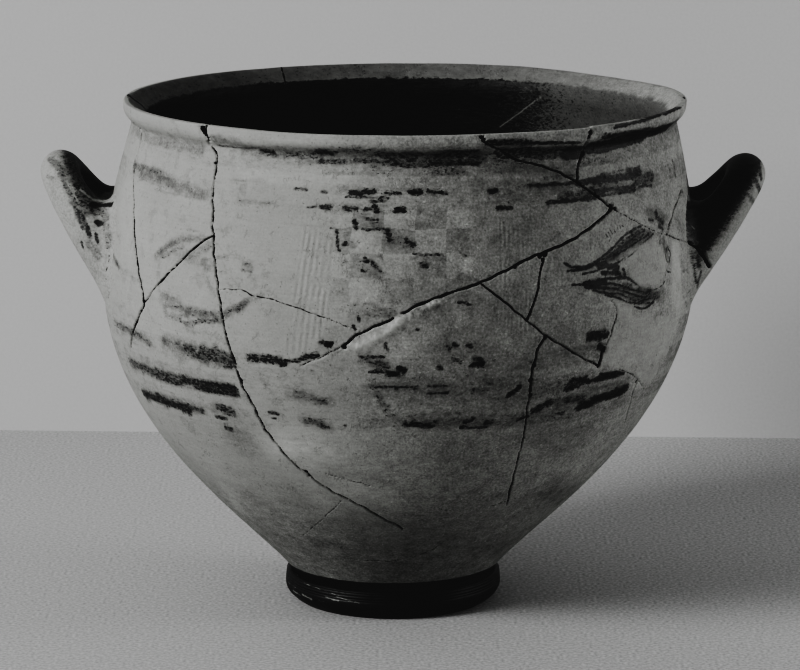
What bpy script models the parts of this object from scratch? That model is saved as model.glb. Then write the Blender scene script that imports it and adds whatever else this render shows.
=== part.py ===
"""Wide-mouthed krater of fired clay on a low ring foot, with two loop handles on its shoulder.

Metres, +Z up, front towards -Y, right handle towards +X. The vessel stands on its foot at
Z = 0, and the origin is on the floor under the middle of its bounding box. It is thrown,
joined and fired as one piece, so it is one hollow solid.
"""
import math

import bmesh
import bpy
from mathutils import Vector
from mathutils.geometry import interpolate_bezier

# Foot, from the floor up
FOOT_STANDING_RADIUS = 0.0695
FOOT_BULGE_RADIUS = 0.0780
FOOT_BULGE_HEIGHT = 0.0107
FOOT_HEIGHT = 0.0200
FOOT_SHOULDER_RADIUS = 0.0772
GROOVE_DEPTH = 0.0032
GROOVE_HEIGHT = 0.0040
STANDING_RING_WIDTH = 0.0110
RECESS_DEPTH = 0.0120

# Bowl, outer side, as two curves that meet at the belly
BOWL_HEIGHT = 0.3225
BOWL_BASE_RADIUS = 0.0755
BOWL_BASE_ANGLE = math.radians(50.5)
BOWL_BASE_REACH = 0.0583
BELLY_RISE = 0.2205
BELLY_RADIUS = 0.2119
BELLY_REACH_DOWN = 0.1139
BELLY_REACH_UP = 0.0313
NECK_RADIUS = 0.1919
NECK_ANGLE = math.radians(70.6)
NECK_REACH = 0.0234

# Wall and floor
WALL = 0.0078
FLOOR_THICKNESS = 0.0130
FLOOR_ROUNDING = 0.0300

# Lip, a flared rim with a face that slopes into the mouth
LIP_HEIGHT = 0.0180
LIP_OVERHANG = 0.0081
LIP_EDGE_DROP = 0.0032
CREST_WIDTH = 0.0030
LIP_FACE_WIDTH = 0.0125
LIP_FACE_DROP = 0.0110

# The axis of the bowl wanders to the right as it rises, while rim and foot stay level
LEAN = 0.0089
LEAN_POWER = 1.6

# Handles, two level-rooted loops that climb away from the shoulder
HANDLE_ROOT_HEIGHT = 0.2450
HANDLE_SPAN = 0.0780
HANDLE_ROLL = 0.0290
RIGHT_HANDLE_REACH = 0.0770
RIGHT_HANDLE_CLIMB = math.radians(57.0)
LEFT_HANDLE_REACH = 0.0785
LEFT_HANDLE_CLIMB = math.radians(58.2)
HANDLE_SQUARENESS = 1.95
HANDLE_ROOT_FLARE = 1.70
HANDLE_FLARE_LENGTH = 0.0720
HANDLE_FLARE_POWER = 1.7
HANDLE_ROOT_DEPTH = 0.0340
HANDLE_SEAT = 0.0058

# How finely the curves are cut into facets, and how they are shaded
TURNING_STEPS = 60
LOWER_CURVE_STEPS = 12
UPPER_CURVE_STEPS = 8
FLOOR_CURVE_STEPS = 5
MOULDING_STEPS = 4
HANDLE_STEPS = 20
HANDLE_ROUNDNESS = 3
WELD_DISTANCE = 0.00005
SHARP_ANGLE = math.radians(35)

# Where a curve leaves or meets its end straight, the share of its height that the pull takes
PULL = 1 / 3

# Chips out of the rim and pits where sherds meet:
# angle from the front in degrees, height, width, length up the wall, depth
CHIPS = (
    ("rim_left_gap", -42.9, 0.3640, 0.0048, 0.0150, 0.0060),
    ("rim_middle_chip", 14.6, 0.3610, 0.0050, 0.0090, 0.0050),
    ("rim_right_step", 38.9, 0.3645, 0.0070, 0.0060, 0.0060),
    ("rim_end_chip", 84.9, 0.3640, 0.0090, 0.0060, 0.0045),
    ("shoulder_pit", 44.6, 0.3080, 0.0056, 0.0066, 0.0040),
    ("middle_pit", 27.4, 0.2808, 0.0062, 0.0082, 0.0042),
    ("lower_pit", -20.1, 0.1279, 0.0072, 0.0056, 0.0045),
    ("handle_side_pit", 73.5, 0.3060, 0.0050, 0.0085, 0.0040),
)

GROOVE_TOP = FOOT_HEIGHT + GROOVE_HEIGHT
BELLY_HEIGHT = GROOVE_TOP + BELLY_RISE
NECK_HEIGHT = GROOVE_TOP + BOWL_HEIGHT
RIM_HEIGHT = NECK_HEIGHT + LIP_HEIGHT
LIP_EDGE_HEIGHT = RIM_HEIGHT - LIP_EDGE_DROP
RIM_RADIUS = NECK_RADIUS + LIP_OVERHANG
CREST_INNER_RADIUS = RIM_RADIUS - LIP_EDGE_DROP / 2 - CREST_WIDTH
FLOOR_TOP = RECESS_DEPTH + FLOOR_THICKNESS


def curve_between(start, start_pull, end_pull, end, steps):
    """Points of one bezier curve in the (radius, height) plane."""
    corners = [Vector((radius, height, 0)) for radius, height in (start, start_pull, end_pull, end)]
    return [(point.x, point.y) for point in interpolate_bezier(*corners, steps + 1)]


def bowl_outline():
    """The outer side of the bowl from the groove above the foot up to the neck."""
    base = (BOWL_BASE_RADIUS, GROOVE_TOP)
    base_pull = (
        BOWL_BASE_RADIUS + BOWL_BASE_REACH * math.cos(BOWL_BASE_ANGLE),
        GROOVE_TOP + BOWL_BASE_REACH * math.sin(BOWL_BASE_ANGLE),
    )
    belly = (BELLY_RADIUS, BELLY_HEIGHT)
    lower = curve_between(
        base, base_pull, (BELLY_RADIUS, BELLY_HEIGHT - BELLY_REACH_DOWN), belly, LOWER_CURVE_STEPS
    )
    neck = (NECK_RADIUS, NECK_HEIGHT)
    neck_pull = (
        NECK_RADIUS + NECK_REACH * math.cos(NECK_ANGLE),
        NECK_HEIGHT - NECK_REACH * math.sin(NECK_ANGLE),
    )
    upper = curve_between(
        belly, (BELLY_RADIUS, BELLY_HEIGHT + BELLY_REACH_UP), neck_pull, neck, UPPER_CURVE_STEPS
    )
    return lower + upper[1:]


def inner_outline():
    """The same curve moved in by the wall thickness, as far down as the floor's rounding."""
    outline = bowl_outline()
    inner = []
    for index, (radius, height) in enumerate(outline):
        before = outline[max(index - 1, 0)]
        after = outline[min(index + 1, len(outline) - 1)]
        along = Vector((after[0] - before[0], after[1] - before[1])).normalized()
        inner.append((radius - along.y * WALL, height + along.x * WALL))
    return [point for point in inner if point[1] > FLOOR_TOP + FLOOR_ROUNDING * PULL]


def radius_at(outline, height):
    """Radius of an outline that rises from point to point, at one height."""
    for low, high in zip(outline, outline[1:]):
        if low[1] <= height <= high[1]:
            share = (height - low[1]) / (high[1] - low[1])
            return low[0] + share * (high[0] - low[0])
    return outline[-1][0] if height > outline[-1][1] else outline[0][0]


def outside_profile():
    """Closed outside of the vessel, from the axis over the rim and down to the floor."""
    lip_edge = (RIM_RADIUS, LIP_EDGE_HEIGHT)
    neck_flare = curve_between(
        (NECK_RADIUS, NECK_HEIGHT),
        (NECK_RADIUS, NECK_HEIGHT + LIP_HEIGHT * PULL),
        (RIM_RADIUS, LIP_EDGE_HEIGHT - LIP_HEIGHT * PULL),
        lip_edge,
        MOULDING_STEPS,
    )
    top = [(0.0, RIM_HEIGHT), (RIM_RADIUS - LIP_EDGE_DROP / 2, RIM_HEIGHT)]
    foot = [
        (FOOT_SHOULDER_RADIUS - GROOVE_DEPTH, FOOT_HEIGHT + GROOVE_HEIGHT * PULL),
        (FOOT_SHOULDER_RADIUS, FOOT_HEIGHT),
    ]
    side = curve_between(
        (FOOT_BULGE_RADIUS, FOOT_BULGE_HEIGHT),
        (FOOT_BULGE_RADIUS, FOOT_BULGE_HEIGHT / 2),
        (FOOT_STANDING_RADIUS + GROOVE_DEPTH, FOOT_BULGE_HEIGHT * PULL / 2),
        (FOOT_STANDING_RADIUS, 0.0),
        MOULDING_STEPS,
    )
    ring_inside = FOOT_STANDING_RADIUS - STANDING_RING_WIDTH
    recess = curve_between(
        (ring_inside, 0.0),
        (ring_inside - RECESS_DEPTH * PULL, RECESS_DEPTH),
        (ring_inside - RECESS_DEPTH, RECESS_DEPTH),
        (ring_inside - RECESS_DEPTH * 2, RECESS_DEPTH),
        MOULDING_STEPS,
    )
    return (
        top
        + neck_flare[::-1]
        + bowl_outline()[::-1][1:]
        + foot
        + side
        + recess
        + [(0.0, RECESS_DEPTH)]
    )


def cavity_profile():
    """The hollow from above the mouth down to the middle of the floor."""
    inner = inner_outline()
    face_foot = (CREST_INNER_RADIUS - LIP_FACE_WIDTH, RIM_HEIGHT - LIP_FACE_DROP)
    above = (CREST_INNER_RADIUS + LIP_FACE_WIDTH, RIM_HEIGHT + LIP_FACE_DROP)
    throat = [point for point in inner if point[1] < face_foot[1] - WALL / 2]
    wall_end = throat[0]
    floor = curve_between(
        wall_end,
        (wall_end[0] - FLOOR_ROUNDING / 2, FLOOR_TOP + FLOOR_ROUNDING / 8),
        (FLOOR_ROUNDING, FLOOR_TOP),
        (0.0, FLOOR_TOP),
        FLOOR_CURVE_STEPS,
    )
    return [(0.0, above[1]), above, face_foot] + throat[::-1] + floor[1:]


def turned(name, profile, collection):
    """A solid of revolution: the profile with a Screw modifier."""
    mesh = bpy.data.meshes.new(name)
    points = [(radius, 0.0, height) for radius, height in profile]
    mesh.from_pydata(points, [(i, i + 1) for i in range(len(points) - 1)], [])
    turned_object = bpy.data.objects.new(name, mesh)
    collection.objects.link(turned_object)
    screw = turned_object.modifiers.new("turning", "SCREW")
    screw.steps = TURNING_STEPS
    screw.render_steps = TURNING_STEPS
    screw.use_merge_vertices = True
    screw.merge_threshold = WELD_DISTANCE
    return turned_object


def handle(name, side, reach, climb, collection):
    """A clay roll bent into a loop and pressed onto the shoulder; side is +1 right, -1 left.

    Each arm thickens towards its root on the upper side only, where the clay was smeared on.
    """
    root_radius = radius_at(bowl_outline(), HANDLE_ROOT_HEIGHT)
    half_span = HANDLE_SPAN / 2
    root_x = math.sqrt(root_radius**2 - half_span**2) - HANDLE_SEAT
    curve = bpy.data.curves.new(name, "CURVE")
    curve.dimensions = "3D"
    curve.bevel_depth = HANDLE_ROLL / 2
    curve.bevel_resolution = HANDLE_ROUNDNESS
    curve.use_fill_caps = True
    spline = curve.splines.new("POLY")
    spline.points.add(HANDLE_STEPS + 2)
    for index, point in enumerate(spline.points):
        turn = math.pi * (index - 1) / HANDLE_STEPS
        turn = min(max(turn, 0.0), math.pi)
        across = math.copysign(abs(math.cos(turn)) ** (2 / HANDLE_SQUARENESS), math.cos(turn))
        along = abs(math.sin(turn)) ** (2 / HANDLE_SQUARENESS) * reach
        if index in (0, HANDLE_STEPS + 2):
            along = -HANDLE_ROOT_DEPTH
        near_root = max(0.0, 1.0 - max(along, 0.0) / HANDLE_FLARE_LENGTH)
        point.radius = 1.0 + (HANDLE_ROOT_FLARE - 1.0) * near_root**HANDLE_FLARE_POWER
        growth = (point.radius - 1.0) * HANDLE_ROLL / 2
        out = root_x + along * math.cos(climb) - growth * math.sin(climb)
        up = HANDLE_ROOT_HEIGHT + along * math.sin(climb) + growth * math.cos(climb)
        point.co = (side * out, across * half_span, up, 1.0)
    loop = bpy.data.objects.new(name, curve)
    collection.objects.link(loop)
    return as_mesh(loop, collection)


def as_mesh(source, collection):
    """The object that the modifiers or the curve make, as a plain mesh."""
    view = bpy.context.evaluated_depsgraph_get()
    mesh = bpy.data.meshes.new_from_object(source.evaluated_get(view))
    shape = bmesh.new()
    shape.from_mesh(mesh)
    bmesh.ops.remove_doubles(shape, verts=shape.verts, dist=WELD_DISTANCE)
    bmesh.ops.recalc_face_normals(shape, faces=shape.faces)
    shape.to_mesh(mesh)
    shape.free()
    plain = bpy.data.objects.new(source.name + "_mesh", mesh)
    plain.matrix_world = source.matrix_world.copy()
    collection.objects.link(plain)
    bpy.data.objects.remove(source)
    return plain


def chip(name, angle_degrees, height, width, length, depth, collection):
    """A six-sided splinter that lies along the wall and bites into it by its depth."""
    angle = math.radians(angle_degrees)
    outline = bowl_outline() + [(RIM_RADIUS, LIP_EDGE_HEIGHT)]
    radius = radius_at(outline, min(height, LIP_EDGE_HEIGHT))
    mesh = bpy.data.meshes.new(name)
    shape = bmesh.new()
    bmesh.ops.create_icosphere(shape, subdivisions=1, radius=1.0)
    for vertex in shape.verts:
        vertex.co = Vector((vertex.co.x * width / 2, vertex.co.y * depth, vertex.co.z * length / 2))
    shape.to_mesh(mesh)
    shape.free()
    splinter = bpy.data.objects.new(name, mesh)
    splinter.rotation_euler = (0.0, 0.0, angle)
    splinter.location = (radius * math.sin(angle), -radius * math.cos(angle), height)
    collection.objects.link(splinter)
    return splinter


def combine(body, other, operation):
    """Add a Boolean modifier that joins or cuts the body with a guide object."""
    other.hide_render = True
    other.display_type = "WIRE"
    step = body.modifiers.new(other.name, "BOOLEAN")
    step.operation = operation
    step.solver = "EXACT"
    step.object = other


def lean_and_centre(body):
    """Shift each level of the vessel sideways, then put the bounding box over the origin."""
    for vertex in body.data.vertices:
        vertex.co.x += LEAN * max(vertex.co.z / RIM_HEIGHT, 0.0) ** LEAN_POWER
    for axis in (0, 1):
        places = [vertex.co[axis] for vertex in body.data.vertices]
        middle = (min(places) + max(places)) / 2
        for vertex in body.data.vertices:
            vertex.co[axis] -= middle


def fired_clay():
    """Pale clay with a worn matt surface."""
    material = bpy.data.materials.new("fired_clay")
    material.use_nodes = True
    surface = material.node_tree.nodes["Principled BSDF"]
    surface.inputs["Base Color"].default_value = (0.40, 0.39, 0.37, 1.0)
    surface.inputs["Roughness"].default_value = 0.62
    surface.inputs["Metallic"].default_value = 0.0
    return material


def build():
    for old in list(bpy.data.objects):
        bpy.data.objects.remove(old)
    vessel = bpy.data.collections.new("amphoroid_krater")
    guides = bpy.data.collections.new("cutters")
    bpy.context.scene.collection.children.link(vessel)
    bpy.context.scene.collection.children.link(guides)

    body = turned("body_turning", outside_profile(), guides)
    right = handle("handle_right", 1, RIGHT_HANDLE_REACH, RIGHT_HANDLE_CLIMB, guides)
    left = handle("handle_left", -1, LEFT_HANDLE_REACH, LEFT_HANDLE_CLIMB, guides)
    combine(body, right, "UNION")
    combine(body, left, "UNION")
    combine(body, turned("cavity", cavity_profile(), guides), "DIFFERENCE")
    for place in CHIPS:
        combine(body, chip(*place, guides), "DIFFERENCE")

    krater = as_mesh(body, vessel)
    krater.name = "krater"
    krater.data.name = "krater"
    lean_and_centre(krater)
    krater.data.materials.clear()
    krater.data.materials.append(fired_clay())
    krater.data.shade_smooth()
    krater.data.set_sharp_from_angle(angle=SHARP_ANGLE)


build()
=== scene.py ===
"""Looks of the mended krater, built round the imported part: bowl, ring foot, two loop handles."""

import math

import bmesh
import bpy
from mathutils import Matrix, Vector, noise
from mathutils.bvhtree import BVHTree
from mathutils.geometry import interpolate_bezier
from mathutils.kdtree import KDTree


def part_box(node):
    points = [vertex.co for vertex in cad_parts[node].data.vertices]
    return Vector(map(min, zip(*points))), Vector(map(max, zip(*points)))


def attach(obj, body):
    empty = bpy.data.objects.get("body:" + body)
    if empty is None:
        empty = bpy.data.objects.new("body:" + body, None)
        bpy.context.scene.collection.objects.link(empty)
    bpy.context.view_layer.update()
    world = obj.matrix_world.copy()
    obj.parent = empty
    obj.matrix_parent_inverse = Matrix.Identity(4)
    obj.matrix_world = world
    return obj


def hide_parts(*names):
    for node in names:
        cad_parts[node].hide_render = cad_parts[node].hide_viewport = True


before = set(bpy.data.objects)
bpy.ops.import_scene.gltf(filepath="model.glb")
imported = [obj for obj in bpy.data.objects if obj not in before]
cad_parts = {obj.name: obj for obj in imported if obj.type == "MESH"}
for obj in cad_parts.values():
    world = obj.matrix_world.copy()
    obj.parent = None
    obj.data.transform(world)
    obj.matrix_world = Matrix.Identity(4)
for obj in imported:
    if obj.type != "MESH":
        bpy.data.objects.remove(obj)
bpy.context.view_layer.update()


# Camera. It stands in front of the vessel at the height of a raised tripod and looks a little
# down at it through a long lens.
PICTURE = (800, 670)
LENS = 157.5
SENSOR = 36.0
CAMERA_PLACE = Vector((-0.00205, -2.4674, 0.6848))
CAMERA_PITCH = math.radians(11.306)

camera = bpy.data.objects.new("camera", bpy.data.cameras.new("camera"))
camera.data.lens = LENS
camera.data.sensor_width = SENSOR
camera.location = CAMERA_PLACE
camera.rotation_euler = (math.pi / 2 - CAMERA_PITCH, 0.0, 0.0)
bpy.context.scene.collection.objects.link(camera)
bpy.context.scene.camera = camera


def pixel_ray(x, y):
    """The direction in which the camera sees one pixel of the photograph."""
    focal = LENS / SENSOR * PICTURE[0]
    across = (x - PICTURE[0] / 2) / focal
    up = (PICTURE[1] / 2 - y) / focal
    ahead = Vector((0, math.cos(CAMERA_PITCH), -math.sin(CAMERA_PITCH)))
    upward = Vector((0, math.sin(CAMERA_PITCH), math.cos(CAMERA_PITCH)))
    return (ahead + Vector((across, 0, 0)) + upward * up).normalized()


# Room. A plain pale table top meets a plain pale wall behind the vessel. The wall is seen from
# the front only, so that it hides nothing from behind.
FLOOR_SIZE = 9.0
WALL_DISTANCE = 0.515
WALL_TURN = math.radians(-2.6)
WALL_HEIGHT = 4.0


def shader_node(tree, kind, inputs=None, **settings):
    """A new shader node. Each input is a value, or a socket that is linked to it."""
    node = tree.nodes.new(kind)
    for name, value in settings.items():
        setattr(node, name, value)
    for key, value in (inputs or {}).items():
        if isinstance(value, bpy.types.NodeSocket):
            tree.links.new(value, node.inputs[key])
        else:
            node.inputs[key].default_value = value
    return node


def blank_material(name):
    """A material with only its output node, and its node tree."""
    material = bpy.data.materials.new(name)
    material.use_nodes = True
    tree = material.node_tree
    tree.nodes.clear()
    return material, tree, shader_node(tree, "ShaderNodeOutputMaterial")


def room_sheet(name, grey, grain, see_through_behind):
    """A flat sheet of matt paint or card, as a material with a faint mottle."""
    material, tree, output = blank_material(name)
    place = shader_node(tree, "ShaderNodeTexCoord").outputs["Object"]
    mottle = shader_node(tree, "ShaderNodeTexNoise", {"Vector": place, "Scale": 420.0, "Detail": 5.0})
    low, high = grey * (1 - grain), grey * (1 + grain)
    tone = shader_node(tree, "ShaderNodeMapRange", {
        "Value": mottle.outputs["Fac"], "From Min": 0.3, "From Max": 0.7, "To Min": low, "To Max": high,
    })
    colour = shader_node(tree, "ShaderNodeCombineColor", {
        "Red": tone.outputs[0], "Green": tone.outputs[0], "Blue": tone.outputs[0],
    })
    sheet = shader_node(tree, "ShaderNodeBsdfPrincipled", {
        "Base Color": colour.outputs[0], "Roughness": 0.9, "Specular IOR Level": 0.2,
    })
    if not see_through_behind:
        tree.links.new(sheet.outputs[0], output.inputs["Surface"])
        return material
    behind = shader_node(tree, "ShaderNodeNewGeometry").outputs["Backfacing"]
    clear = shader_node(tree, "ShaderNodeBsdfTransparent")
    either = shader_node(tree, "ShaderNodeMixShader", {
        0: behind, 1: sheet.outputs[0], 2: clear.outputs[0],
    })
    tree.links.new(either.outputs[0], output.inputs["Surface"])
    return material


def flat_sheet(name, width, height, material):
    """A level rectangle about the origin."""
    shape = bmesh.new()
    bmesh.ops.create_grid(shape, x_segments=1, y_segments=1, size=0.5)
    bmesh.ops.scale(shape, vec=(width, height, 1.0), verts=shape.verts)
    mesh = bpy.data.meshes.new(name)
    shape.to_mesh(mesh)
    shape.free()
    mesh.materials.append(material)
    sheet = bpy.data.objects.new(name, mesh)
    bpy.context.scene.collection.objects.link(sheet)
    return sheet


floor = flat_sheet("floor", FLOOR_SIZE, FLOOR_SIZE, room_sheet("floor_paint", 0.46, 0.26, False))
wall = flat_sheet("wall", FLOOR_SIZE, WALL_HEIGHT, room_sheet("wall_paint", 0.55, 0.03, True))
wall.rotation_euler = (math.pi / 2, 0.0, WALL_TURN)
wall.location = (0.0, WALL_DISTANCE, WALL_HEIGHT / 2)


# Light. One large soft lamp stands high on the left and a little in front, and the pale room
# fills the shadows.
def soft_lamp(name, place, aim, size, power):
    """A square area lamp that points at a place."""
    lamp = bpy.data.lights.new(name, "AREA")
    lamp.shape = "SQUARE"
    lamp.size = size
    lamp.energy = power
    stand = bpy.data.objects.new(name, lamp)
    stand.location = place
    stand.rotation_euler = (Vector(aim) - Vector(place)).to_track_quat("-Z", "Y").to_euler()
    bpy.context.scene.collection.objects.link(stand)


soft_lamp("window_light", (-3.56, -2.06, 2.03), (0.0, 0.0, 0.20), 1.6, 228.0)
soft_lamp("pale_board", (2.17, -0.19, 0.51), (0.0, 0.0, 0.20), 0.6, 20.0)

world = bpy.data.worlds.new("pale_room")
world.use_nodes = True
world.node_tree.nodes["Background"].inputs["Color"].default_value = (1.0, 1.0, 1.0, 1.0)
world.node_tree.nodes["Background"].inputs["Strength"].default_value = 0.28
bpy.context.scene.world = world

# Film. The tones of the print rise steeply from a lifted black and level off below white.
FILM_BLACK = 11 / 255
FILM_WHITE = 190 / 255
FILM_MIDDLE = 0.25
FILM_CONTRAST = 2.45
FILM_STOPS = (0.0, 0.05, 0.10, 0.15, 0.20, 0.27, 0.35, 0.45, 0.60, 0.80, 1.0)


def film_tone(light):
    """The print's tone for an amount of light, as a linear value."""
    exposed = light ** FILM_CONTRAST
    tone = FILM_BLACK + (FILM_WHITE - FILM_BLACK) * exposed / (exposed + FILM_MIDDLE ** FILM_CONTRAST)
    return tone / 12.92 if tone <= 0.04045 else ((tone + 0.055) / 1.055) ** 2.4


view = bpy.context.scene.view_settings
view.view_transform = "Standard"
view.use_curve_mapping = True
film = view.curve_mapping.curves[3].points
film[0].location = (FILM_STOPS[0], film_tone(FILM_STOPS[0]))
film[-1].location = (FILM_STOPS[-1], film_tone(FILM_STOPS[-1]))
for stop in FILM_STOPS[1:-1]:
    film.new(stop, film_tone(stop))
view.curve_mapping.update()


# Bowl. Thrown on a wheel, with a flared lip whose face slopes into the mouth, and a wall of
# about 8 mm that narrows to the foot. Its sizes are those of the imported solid.
MM = 0.001
FOOT_HEIGHT = 0.0200
GROOVE_FLOOR = 0.0213
GROOVE_RADIUS = 0.0740
GROOVE_TOP = 0.0240
BASE_RADIUS = 0.0755
BASE_ANGLE = math.radians(50.5)
BASE_REACH = 0.0583
BELLY_RISE = 0.2205
BELLY_RADIUS = 0.2119
BELLY_REACH_DOWN = 0.1139
BELLY_REACH_UP = 0.0313
# The neck is 1.8 mm fuller and 1.5 mm higher than the solid's, by the photographed outline
BOWL_HEIGHT = 0.3240
NECK_RADIUS = 0.1937
NECK_ANGLE = math.radians(76.0)
NECK_REACH = 0.0300
WALL = 0.0078
FLOOR_TOP = 0.0250
LIP_HEIGHT = 0.0165
LIP_OVERHANG = 0.0063
LIP_EDGE_DROP = 0.0032
CREST_WIDTH = 0.0030
LIP_FACE_WIDTH = 0.0125
LIP_FACE_DROP = 0.0110
LEAN = 0.0089
LEAN_POWER = 1.6
TURNS = 256

RIM_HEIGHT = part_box("krater")[1].z
NECK_HEIGHT = GROOVE_TOP + BOWL_HEIGHT
RIM_RADIUS = NECK_RADIUS + LIP_OVERHANG
LIP_INNER_RADIUS = RIM_RADIUS - LIP_EDGE_DROP / 2 - CREST_WIDTH - LIP_FACE_WIDTH
LIP_INNER_HEIGHT = RIM_HEIGHT - LIP_FACE_DROP

standing = [v.co.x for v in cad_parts["krater"].data.vertices if v.co.z < 0.1 * MM]
FOOT_CENTRE = (min(standing) + max(standing)) / 2


def curve(start, start_pull, end_pull, end, steps):
    """Points of one bezier curve in the (radius, height) plane."""
    corners = [Vector((radius, height, 0)) for radius, height in (start, start_pull, end_pull, end)]
    return [(point.x, point.y) for point in interpolate_bezier(*corners, steps + 1)]


def outer_wall(lower_steps, upper_steps):
    """The outer wall from above the foot to the neck, as two curves that meet at the belly."""
    base = (BASE_RADIUS, GROOVE_TOP)
    base_pull = (
        BASE_RADIUS + BASE_REACH * math.cos(BASE_ANGLE),
        GROOVE_TOP + BASE_REACH * math.sin(BASE_ANGLE),
    )
    belly_height = GROOVE_TOP + BELLY_RISE
    belly = (BELLY_RADIUS, belly_height)
    neck_pull = (
        NECK_RADIUS + NECK_REACH * math.cos(NECK_ANGLE),
        NECK_HEIGHT - NECK_REACH * math.sin(NECK_ANGLE),
    )
    lower = curve(base, base_pull, (BELLY_RADIUS, belly_height - BELLY_REACH_DOWN), belly, lower_steps)
    upper = curve(
        belly, (BELLY_RADIUS, belly_height + BELLY_REACH_UP), neck_pull, (NECK_RADIUS, NECK_HEIGHT), upper_steps
    )
    return lower + upper[1:]


def inner_wall(outline):
    """The outline moved in by the wall, from the floor's rounding up to under the lip's face."""
    inner = []
    for before, point, after in zip(outline, outline[1:], outline[2:]):
        along = Vector((after[0] - before[0], after[1] - before[1])).normalized()
        inner.append((point[0] - along.y * WALL, point[1] + along.x * WALL))
    low = FLOOR_TOP + 0.010
    high = LIP_INNER_HEIGHT - WALL / 2
    return [point for point in inner if low < point[1] < high]


def lip():
    """Flare, rounded edge, crest and sloping face of the lip, from the neck to the throat."""
    edge = (RIM_RADIUS, RIM_HEIGHT - LIP_EDGE_DROP)
    crest = (RIM_RADIUS - LIP_EDGE_DROP / 2, RIM_HEIGHT)
    inner_crest = (crest[0] - CREST_WIDTH, RIM_HEIGHT)
    throat = (LIP_INNER_RADIUS, LIP_INNER_HEIGHT)
    neck_end = (NECK_RADIUS, NECK_HEIGHT + 0.22 * LIP_HEIGHT)
    edge_start = (edge[0], edge[1] - 0.50 * LIP_HEIGHT)
    flare = curve((NECK_RADIUS, NECK_HEIGHT), neck_end, edge_start, edge, 8)
    round_over = curve(edge, (edge[0], edge[1] + 2 * MM), (edge[0], crest[1]), crest, 4)
    face = curve(
        inner_crest,
        (inner_crest[0] - 2 * MM, RIM_HEIGHT),
        (throat[0] + 4 * MM, throat[1] + 3 * MM),
        throat,
        7,
    )
    return flare[1:] + round_over[1:] + face


def in_set_order(spun):
    """The same shape with its faces in one order, as the order of a spin differs from run to run."""
    spun.verts.index_update()
    outlines = []
    for face in spun.faces:
        corners = [vertex.index for vertex in face.verts]
        first = corners.index(min(corners))
        outlines.append(corners[first:] + corners[:first])
    shape = bmesh.new()
    places = [shape.verts.new(vertex.co) for vertex in spun.verts]
    for corners in sorted(outlines):
        shape.faces.new([places[index] for index in corners])
    spun.free()
    return shape


def turn(profile, turns):
    """A closed shape turned from a profile of (radius, height) points about the upright axis."""
    shape = bmesh.new()
    points = [shape.verts.new((radius, 0.0, height)) for radius, height in profile]
    lines = [shape.edges.new(pair) for pair in zip(points, points[1:])]
    bmesh.ops.spin(
        shape, geom=points + lines, cent=(0, 0, 0), axis=(0, 0, 1), dvec=(0, 0, 0),
        angle=2 * math.pi, steps=turns, use_merge=True, use_duplicate=False,
    )
    bmesh.ops.remove_doubles(shape, verts=shape.verts, dist=0.01 * MM)
    bmesh.ops.recalc_face_normals(shape, faces=shape.faces)
    return in_set_order(shape)


def axis_at(height):
    """Where the vessel's axis is at a height: it wanders to the right as it rises."""
    return FOOT_CENTRE + LEAN * (max(height, 0.0) / RIM_HEIGHT) ** LEAN_POWER


def lean(shape):
    """Shift each level of a turned shape onto the vessel's axis."""
    for vertex in shape.verts:
        vertex.co.x += axis_at(vertex.co.z)


OUTLINE = outer_wall(44, 28) + lip()[:12]


def outer_radius(height):
    """Radius of the outer wall, lip included, at one height."""
    if height <= OUTLINE[0][1]:
        return OUTLINE[0][0]
    for low, high in zip(OUTLINE, OUTLINE[1:]):
        if height <= high[1]:
            share = (height - low[1]) / (high[1] - low[1])
            return low[0] + share * (high[0] - low[0])
    return OUTLINE[-1][0]


def wall_place(place):
    """Angle from the front and height of a place on the vessel."""
    return math.atan2(place.x - axis_at(place.z), -place.y), place.z


def outer_twin(place):
    """The point of the outer wall straight out from a place in or on the wall."""
    angle, height = wall_place(place)
    height = min(max(height, GROOVE_TOP), RIM_HEIGHT)
    radius = outer_radius(height)
    return Vector((axis_at(height) + radius * math.sin(angle), -radius * math.cos(angle), height))


bowl_floor = [(0.0, 0.0205), (GROOVE_RADIUS - 2 * MM, 0.0205), (GROOVE_RADIUS, GROOVE_FLOOR)]
throat_wall = inner_wall(outer_wall(22, 14))[::-1]
bowl_hollow = curve(
    throat_wall[-1],
    (throat_wall[-1][0] - 0.015, FLOOR_TOP + 0.0038),
    (0.030, FLOOR_TOP),
    (0.0, FLOOR_TOP),
    8,
)
bowl = turn(bowl_floor + outer_wall(44, 28) + lip() + throat_wall + bowl_hollow[1:], TURNS)
lean(bowl)
bowl_surface = BVHTree.FromBMesh(bowl)

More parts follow.
